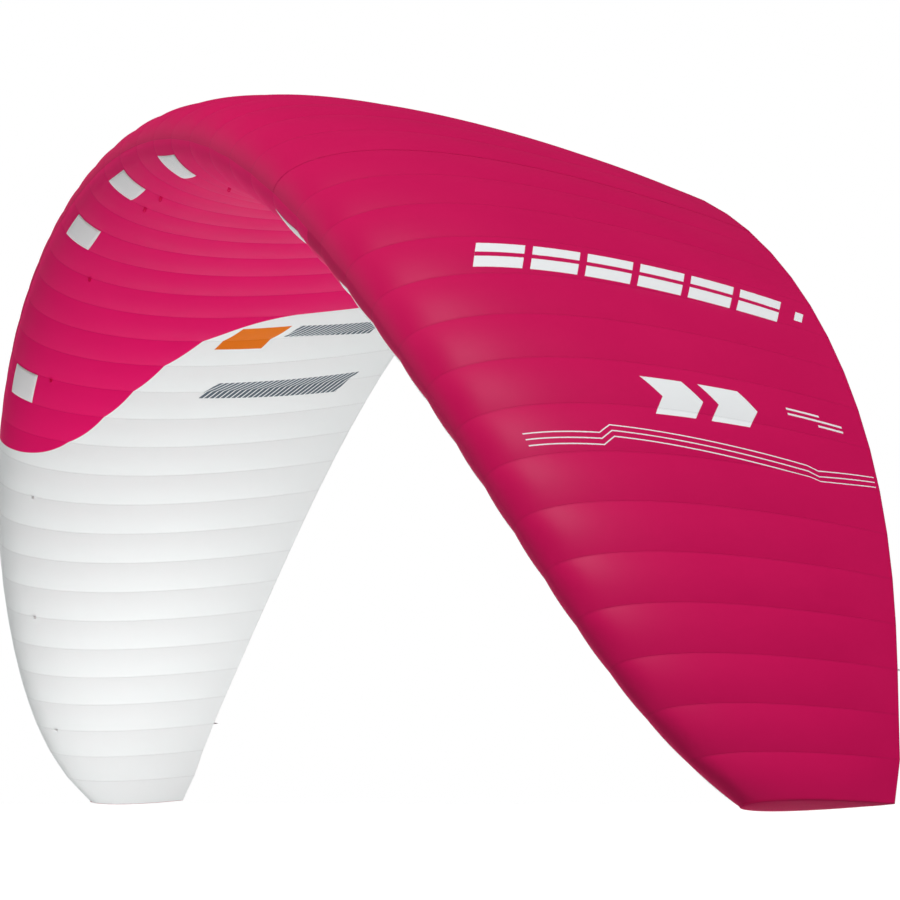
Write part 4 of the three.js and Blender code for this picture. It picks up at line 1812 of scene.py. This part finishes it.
@dataclass
class BridleTabs:
    """Sewn webbing tabs with a bound eye, under the loaded ribs and at the brake ribs.

    Attributes:
        shape: Shape of the canopy.
        finishes: Materials.
        brake_rib: Number of the rib whose tail carries the brake tab.
        width: Width of a tab.
        length: Length of a tab, with its round end.
        webbing: Thickness of the webbing.
        eye_radius: Radius of the eye.
        eye_sides: Number of sides of the eye.
        top_turn: Turn from corner to corner of the round end, in degrees.
        binding: Radius of the binding's thread.
        binding_sides: Number of sides of the thread.
        binding_steps: Number of steps round the eye.
        gap: Distance between the cloth and the tab's foot.
    """

    shape: CanopyShape
    finishes: Finishes
    brake_rib: int = 21
    width: float = 0.010
    length: float = 0.017
    webbing: float = 0.0012
    eye_radius: float = 0.0017
    eye_sides: int = 16
    top_turn: int = 15
    binding: float = 0.0005
    binding_sides: int = 8
    binding_steps: int = 20
    gap: float = 0.0004

    def build(self) -> None:
        """Makes every tab."""
        for side in Side:
            for number in self.shape.loaded_ribs:
                cell = side.value * (number - 0.5)
                flat, out = self.shape.outline(cell, np.array([self.shape.tab_place]))
                label = f"{number:02d}_{side.label}"
                self.tab(f"bridle_loop_{label}", f"bridle_tab_{label}", CANOPY, cell, flat[0], out[0])
            cell = side.value * (self.brake_rib - 0.5)
            tail = np.array([self.shape.chord(cell), 0.0])
            self.tab(f"brake_loop_{side.label}", f"brake_tab_{side.label}",
                     f"brake_corner_{side.label}", cell, tail, np.array([1.0, 0.0]))

    def tab(self, name: str, node: str, body: str, cell: float, root: np.ndarray, out: np.ndarray) -> None:
        """Makes one tab that stands out of the section.

        Args:
            name: Name of the piece.
            node: CAD node that it stands for.
            body: Body that it rides on.
            cell: Cell number of its rib.
            root: Where it stands on the section.
            out: Direction that it stands in.
        """
        mesh = self.plate()
        turn = math.atan2(out[1], out[0]) - math.pi / 2
        foot = root + out * self.gap
        place = Matrix.Translation((foot[0], foot[1], 0)) @ Matrix.Rotation(turn, 4, "Z")
        mesh.transform(self.shape.station(cell) @ place)
        bmesh.ops.recalc_face_normals(mesh, faces=mesh.faces[:])
        white = abs(cell) > self.shape.skin_split
        finish = self.finishes.webbing if white else self.finishes.pink_webbing
        piece = make_piece(name, mesh, finish, smooth=False)
        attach(piece, body)
        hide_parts(node)

    def plate(self) -> bmesh.types.BMesh:
        """Tab with its eye and the binding round it, standing along y.

        Returns:
            The mesh.
        """
        half = self.width / 2
        eye = Matrix.Translation((0, self.length - half, 0))
        outline = [(-half, 0), (half, 0), (half, self.length - half)]
        for degrees in range(self.top_turn, 180, self.top_turn):
            turn = math.radians(degrees)
            outline.append((half * math.cos(turn), self.length - half + half * math.sin(turn)))
        outline.append((-half, self.length - half))
        mesh = bmesh.new()
        add_loop(mesh, outline)
        bmesh.ops.create_circle(mesh, cap_ends=False, segments=self.eye_sides, radius=self.eye_radius,
                                matrix=eye)
        bmesh.ops.triangle_fill(mesh, use_beauty=True, edges=mesh.edges[:], normal=(0, 0, 1))
        bmesh.ops.recalc_face_normals(mesh, faces=mesh.faces[:])
        bmesh.ops.solidify(mesh, geom=mesh.faces[:], thickness=self.webbing)
        middle = sum((v.co.z for v in mesh.verts), 0.0) / len(mesh.verts)
        bmesh.ops.translate(mesh, verts=mesh.verts[:], vec=(0, 0, -middle))
        for lift in (self.webbing / 2, -self.webbing / 2):
            ring = self.binding_ring()
            ring.transform(eye @ Matrix.Translation((0, 0, lift)))
            data = bpy.data.meshes.new("binding")
            ring.to_mesh(data)
            ring.free()
            mesh.from_mesh(data)
            bpy.data.meshes.remove(data)
        return mesh

    def binding_ring(self) -> bmesh.types.BMesh:
        """Ring of thread that binds one side of the eye, round z.

        Returns:
            The mesh.
        """
        ring = bmesh.new()
        beside = Matrix.Translation((self.eye_radius + self.binding, 0, 0))
        start = beside @ Matrix.Rotation(math.pi / 2, 4, "X")
        made = bmesh.ops.create_circle(ring, cap_ends=False, segments=self.binding_sides,
                                       radius=self.binding, matrix=start)
        bmesh.ops.spin(ring, geom=edges_of(made["verts"]) + made["verts"], cent=(0, 0, 0), axis=(0, 0, 1),
                       dvec=(0, 0, 0), angle=math.tau, steps=self.binding_steps, use_merge=True,
                       use_duplicate=False)
        return ring


@dataclass
class SpanStraps:
    """Webbing straps inside the canopy, through one row of ports each.

    Attributes:
        shape: Shape of the canopy.
        finishes: Materials.
        straps: Name of each strap and the share of the chord where it runs.
        width: Width of a strap.
        webbing: Thickness of the webbing.
        end: How far a strap runs past the outermost load rib, in cells.
    """

    shape: CanopyShape
    finishes: Finishes
    straps: tuple[tuple[str, float], ...] = (("front", 0.33), ("rear", 0.55))
    width: float = 0.020
    webbing: float = 0.001
    end: float = 0.1

    def build(self) -> None:
        """Makes both straps."""
        for name, share in self.straps:
            self.strap(name, share)

    def strap(self, name: str, share: float) -> None:
        """Makes one strap at a share of the chord.

        Args:
            name: Word in its name.
            share: Share of the chord that it runs at.
        """
        half = [number - 0.5 for number in self.shape.loaded_ribs]
        half[-1] += self.end
        cells = [-cell for cell in reversed(half)] + half
        columns = []
        for cell in cells:
            placement = self.shape.station(cell)
            aft = share * self.shape.chord(cell)
            row = [placement @ Vector((aft + x, 0, 0)) for x in (-self.width / 2, 0, self.width / 2)]
            columns.append([tuple(point) for point in row])
        mesh = grid_mesh(np.array(columns))
        bmesh.ops.subdivide_edges(mesh, edges=mesh.edges[:], cuts=1, use_grid_fill=True)
        area = sheet_area(mesh)
        mesh.normal_update()
        piece = make_piece(f"span_webbing_{name}", mesh, self.finishes.webbing)
        thicken(piece, self.webbing, offset=0.0)
        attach(piece, CANOPY)
        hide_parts(f"span_strap_{name}")


# ---------------------------------------------------------------- zip


@dataclass
class DeflateZip:
    """Coil zip along the middle of the trailing edge, with its slider at the left end.

    Attributes:
        shape: Shape of the canopy.
        finishes: Materials.
        length: Length of the zip.
        width: Width of the zip behind the trailing edge.
        tape: Thickness of the tapes.
        pitch: Distance from tooth to tooth.
        tape_share: Share of the width that the tapes take.
        tape_steps: Steps along the tapes.
        tooth_fill: Share of the pitch and of the width that a tooth takes.
        tooth_seat: Place of a tooth's middle, as a share of the width.
        front_gap: Distance between the trailing edge and the zip.
        slider_length: Length of the slider.
        slider_wall: Thickness of the slider's walls.
        clearance: Distance between the slider and the teeth.
        coil: Height of the teeth.
        pull_length: Length of the slider's pull.
        pull_width: Width of the pull.
        pull_overlap: Length of the pull inside the slider's wall.
        fine_edge: Rounding of the teeth and the slider.
        pull_edge: Rounding of the pull.
    """

    shape: CanopyShape
    finishes: Finishes
    length: float = 0.520
    width: float = 0.006
    tape: float = 0.0008
    pitch: float = 0.0026
    tape_share: float = 0.35
    tape_steps: int = 40
    tooth_fill: float = 0.62
    tooth_seat: float = 0.66
    front_gap: float = 0.0008
    slider_length: float = 0.016
    slider_wall: float = 0.0016
    clearance: float = 0.0006
    coil: float = 0.003
    pull_length: float = 0.030
    pull_width: float = 0.006
    pull_overlap: float = 0.001
    fine_edge: float = 0.0004
    pull_edge: float = 0.0006

    @property
    def radius(self) -> float:
        """Radius of the arc in the middle of the span."""
        return self.shape.half_span / math.radians(self.shape.arc_turn)

    def placement(self, angle: float) -> Matrix:
        """Placement on the zip's arc: x along the span, y aft, z up.

        Args:
            angle: Angle from the middle of the span, in radians.

        Returns:
            The placement.
        """
        centre = Vector((0, self.shape.root_chord + self.front_gap, -self.radius)) - self.shape.origin
        return Matrix.Translation(centre) @ Matrix.Rotation(angle, 4, "Y") @ Matrix.Translation(
            (0, 0, self.radius))

    def build(self) -> None:
        """Makes the tapes, the teeth and the slider."""
        self.tapes()
        self.teeth()
        self.slider()

    def tapes(self) -> None:
        """Makes the two woven tapes as one band along the trailing edge."""
        half_angle = self.length / 2 / self.radius
        angles = np.linspace(-half_angle, half_angle, self.tape_steps + 1)
        half = self.tape / 2
        back = self.width * self.tape_share
        rows = [(0, half), (back, half), (back, -half), (0, -half)]
        mesh = bmesh.new()
        section = [mesh.verts.new(self.placement(angles[0]) @ Vector((0, y, z))) for y, z in rows]
        mesh.faces.new(section)
        current = mesh.faces[:]
        turn = Matrix.Rotation(float(angles[1] - angles[0]), 3, "Y")
        centre = self.placement(0) @ Vector((0, 0, -self.radius))
        for _ in range(self.tape_steps):
            made = bmesh.ops.extrude_face_region(mesh, geom=current)
            moved = [item for item in made["geom"] if isinstance(item, bmesh.types.BMVert)]
            bmesh.ops.rotate(mesh, verts=moved, cent=centre, matrix=turn)
            bmesh.ops.delete(mesh, geom=current, context="FACES_ONLY")
            current = [item for item in made["geom"] if isinstance(item, bmesh.types.BMFace)]
        bmesh.ops.holes_fill(mesh, edges=mesh.edges[:], sides=4)
        bmesh.ops.recalc_face_normals(mesh, faces=mesh.faces[:])
        piece = make_piece("zip_tape", mesh, self.finishes.zip_tape, smooth=False)
        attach(piece, CANOPY)
        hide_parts("deflate_zip")

    def teeth(self) -> None:
        """Makes the row of closed coil teeth."""
        half_angle = self.length / 2 / self.radius
        count = int(self.length / self.pitch)
        mesh = bmesh.new()
        size = (self.pitch * self.tooth_fill, self.width * self.tooth_fill, self.coil)
        for i in range(count):
            angle = half_angle * (2 * (i + 0.5) / count - 1)
            place = self.placement(angle) @ Matrix.Translation((0, self.width * self.tooth_seat, 0))
            add_block(mesh, size, place, self.fine_edge, segments=1)
        bmesh.ops.recalc_face_normals(mesh, faces=mesh.faces[:])
        piece = make_piece("zip_teeth", mesh, self.finishes.zip_teeth, smooth=False)
        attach(piece, CANOPY)

    def slider(self) -> None:
        """Makes the slider's body and pull."""
        angle = self.length / 2 / self.radius - self.slider_length / 2 / self.radius
        inside = self.coil / 2 + self.clearance
        outside = inside + self.slider_wall
        floor = self.width + self.clearance
        back = floor + self.slider_wall
        profile = [
            (self.clearance, -outside), (back, -outside), (back, outside), (self.clearance, outside),
            (self.clearance, inside), (floor, inside), (floor, -inside), (self.clearance, -inside),
        ]
        mesh = bmesh.new()
        half = self.slider_length / 2
        section = [mesh.verts.new((-half, y, z)) for y, z in profile]
        mesh.faces.new(section)
        made = bmesh.ops.extrude_face_region(mesh, geom=mesh.faces[:])
        moved = [item for item in made["geom"] if isinstance(item, bmesh.types.BMVert)]
        bmesh.ops.translate(mesh, verts=moved, vec=(self.slider_length, 0, 0))
        round_edges(mesh, mesh.edges[:], self.fine_edge, segments=2)
        pull = Matrix.Translation((0, back + self.pull_length / 2 - self.pull_overlap, 0))
        size = (self.pull_width, self.pull_length, self.slider_wall)
        add_block(mesh, size, pull, self.pull_edge, segments=2)
        mesh.transform(self.placement(angle))
        bmesh.ops.recalc_face_normals(mesh, faces=mesh.faces[:])
        piece = make_piece("zip_runner", mesh, self.finishes.metal, smooth=False)
        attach(piece, "zip_slider")
        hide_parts("zip_slider")


# ---------------------------------------------------------------- studio


@dataclass(frozen=True)
class Lamp:
    """Soft lamp: a sun by its direction, or a square panel that faces a point.

    Attributes:
        name: Name of the lamp.
        strength: Strength of the sun, or power of the panel.
        place: Where it stands; a sun only shines from that direction.
        angle: Width of the sun as seen from the kite, in degrees.
        aim: Point that it faces.
        size: Side of the panel, or 0 for a sun.
        shines: Whether it shows in gloss.
    """

    name: str
    strength: float
    place: tuple[float, float, float]
    angle: float = 0.0
    aim: tuple[float, float, float] = (0.0, 0.0, 0.0)
    size: float = 0.0
    shines: bool = False

    def build(self) -> None:
        """Makes the lamp, which the camera does not see, and gloss only where it shines."""
        data = bpy.data.lights.new(self.name, "AREA" if self.size else "SUN")
        data.energy = self.strength
        if self.size:
            data.size = self.size
        else:
            data.angle = math.radians(self.angle)
        lamp = bpy.data.objects.new(self.name, data)
        bpy.context.scene.collection.objects.link(lamp)
        lamp.visible_camera = False
        lamp.visible_glossy = self.shines
        lamp.location = self.place
        lamp.rotation_mode = "QUATERNION"
        lamp.rotation_quaternion = (Vector(self.aim) - Vector(self.place)).to_track_quat("-Z", "Y")


@dataclass
class Studio:
    """Pale floor, soft light and camera.

    Attributes:
        floor_height: Height of the floor.
        floor_size: Side of the floor.
        floor_tone: How much light the floor gives back.
        floor_glow: Light that the camera sees the floor give.
        azimuth: Direction of the camera round the kite, in degrees.
        elevation: Direction of the camera above the kite, in degrees.
        distance: Distance from the camera to its target.
        target: Point in the middle of the view.
        lens: Focal length of the camera, in millimetres.
        sky: Strength of the sky's light.
        lamps: The lamps.
    """

    floor_height: float = -2.6
    floor_size: float = 400.0
    floor_tone: float = 0.42
    floor_glow: float = 0.65
    azimuth: float = 66.3017
    elevation: float = -7.5334
    distance: float = 9.397
    target: tuple[float, float, float] = (-0.7291, 1.3474, -0.6327)
    lens: float = 104.464
    sky: float = 0.05
    lamps: tuple[Lamp, ...] = (
        Lamp("key light", 3.0, (5.1, -2.4, 9.4), angle=16.0, shines=True),
        Lamp("back fill", 1.8, (-7.0, -5.5, 2.4), angle=60.0),
        Lamp("left fill", 22.0, (1.35, 0.9, -2.5), aim=(1.35, 0.9, 0.0), size=1.2),
        Lamp("right fill", 22.0, (-1.35, 0.9, -2.5), aim=(-1.35, 0.9, 0.0), size=1.2),
    )

    def build(self) -> None:
        """Makes the floor, the light and the camera."""
        self.floor()
        self.world()
        for lamp in self.lamps:
            lamp.build()
        self.camera()

    def floor(self) -> None:
        """Makes the floor, which glows softly for the camera so that it stays as pale as the backdrop."""
        mesh = bmesh.new()
        bmesh.ops.create_grid(mesh, x_segments=8, y_segments=8, size=self.floor_size / 2,
                              matrix=Matrix.Translation((0, 0, self.floor_height)))
        shader = Shader("studio floor")
        cloudy = shader.noise(shader.object_place(), 0.2, 2.0)
        tone = shader.math("MULTIPLY_ADD", cloudy, 0.02, self.floor_tone)
        seen = shader.tree.nodes.new("ShaderNodeLightPath").outputs["Is Camera Ray"]
        glow = shader.math("MULTIPLY", seen, self.floor_glow)
        shader.set(Base_Color=tone, Roughness=0.9, Specular_IOR_Level=0.1)
        shader.set(Emission_Color=(1.0, 1.0, 1.0, 1.0), Emission_Strength=glow)
        make_piece("studio_floor", mesh, shader.material, smooth=False)

    def world(self) -> None:
        """Makes the white backdrop, which gives little light of its own."""
        world = bpy.data.worlds.new("studio")
        world.use_nodes = True
        tree = world.node_tree
        seen = tree.nodes.new("ShaderNodeLightPath").outputs["Is Camera Ray"]
        strength = tree.nodes.new("ShaderNodeMath")
        strength.operation = "MULTIPLY_ADD"
        tree.links.new(seen, strength.inputs[0])
        strength.inputs[1].default_value = 1 - self.sky
        strength.inputs[2].default_value = self.sky
        background = tree.nodes["Background"]
        background.inputs["Color"].default_value = (1.0, 1.0, 1.0, 1.0)
        tree.links.new(strength.outputs[0], background.inputs["Strength"])
        bpy.context.scene.world = world

    def camera(self) -> None:
        """Makes the camera."""
        data = bpy.data.cameras.new("camera")
        data.lens = self.lens
        data.clip_end = 1000.0
        camera = bpy.data.objects.new("camera", data)
        bpy.context.scene.collection.objects.link(camera)
        turn, rise = math.radians(self.azimuth), math.radians(self.elevation)
        back = Vector((math.sin(turn) * math.cos(rise), -math.cos(turn) * math.cos(rise), math.sin(rise)))
        camera.location = Vector(self.target) + back * self.distance
        camera.rotation_mode = "QUATERNION"
        camera.rotation_quaternion = (-back).to_track_quat("-Z", "Y")
        bpy.context.scene.camera = camera


def main() -> None:
    """Builds the kite's pieces in order, then the studio."""
    logging.basicConfig(level=logging.INFO, format="%(message)s", stream=sys.stdout)
    bpy.context.scene.view_settings.view_transform = "Standard"
    shape = CanopyShape()
    finishes = make_finishes()
    folds = {side: BrakeFold(shape, side) for side in Side}
    Studio().build()
    SkinPanels(shape, finishes, folds).build()
    TrailingHems(shape, finishes, folds).build()
    Ribs(shape, finishes, folds).build()
    TipPanels(shape, finishes, folds).build()
    Intakes(shape, finishes).build()
    BridleTabs(shape, finishes).build()
    SpanStraps(shape, finishes).build()
    DeflateZip(shape, finishes).build()


if __name__ == "__main__":
    main()
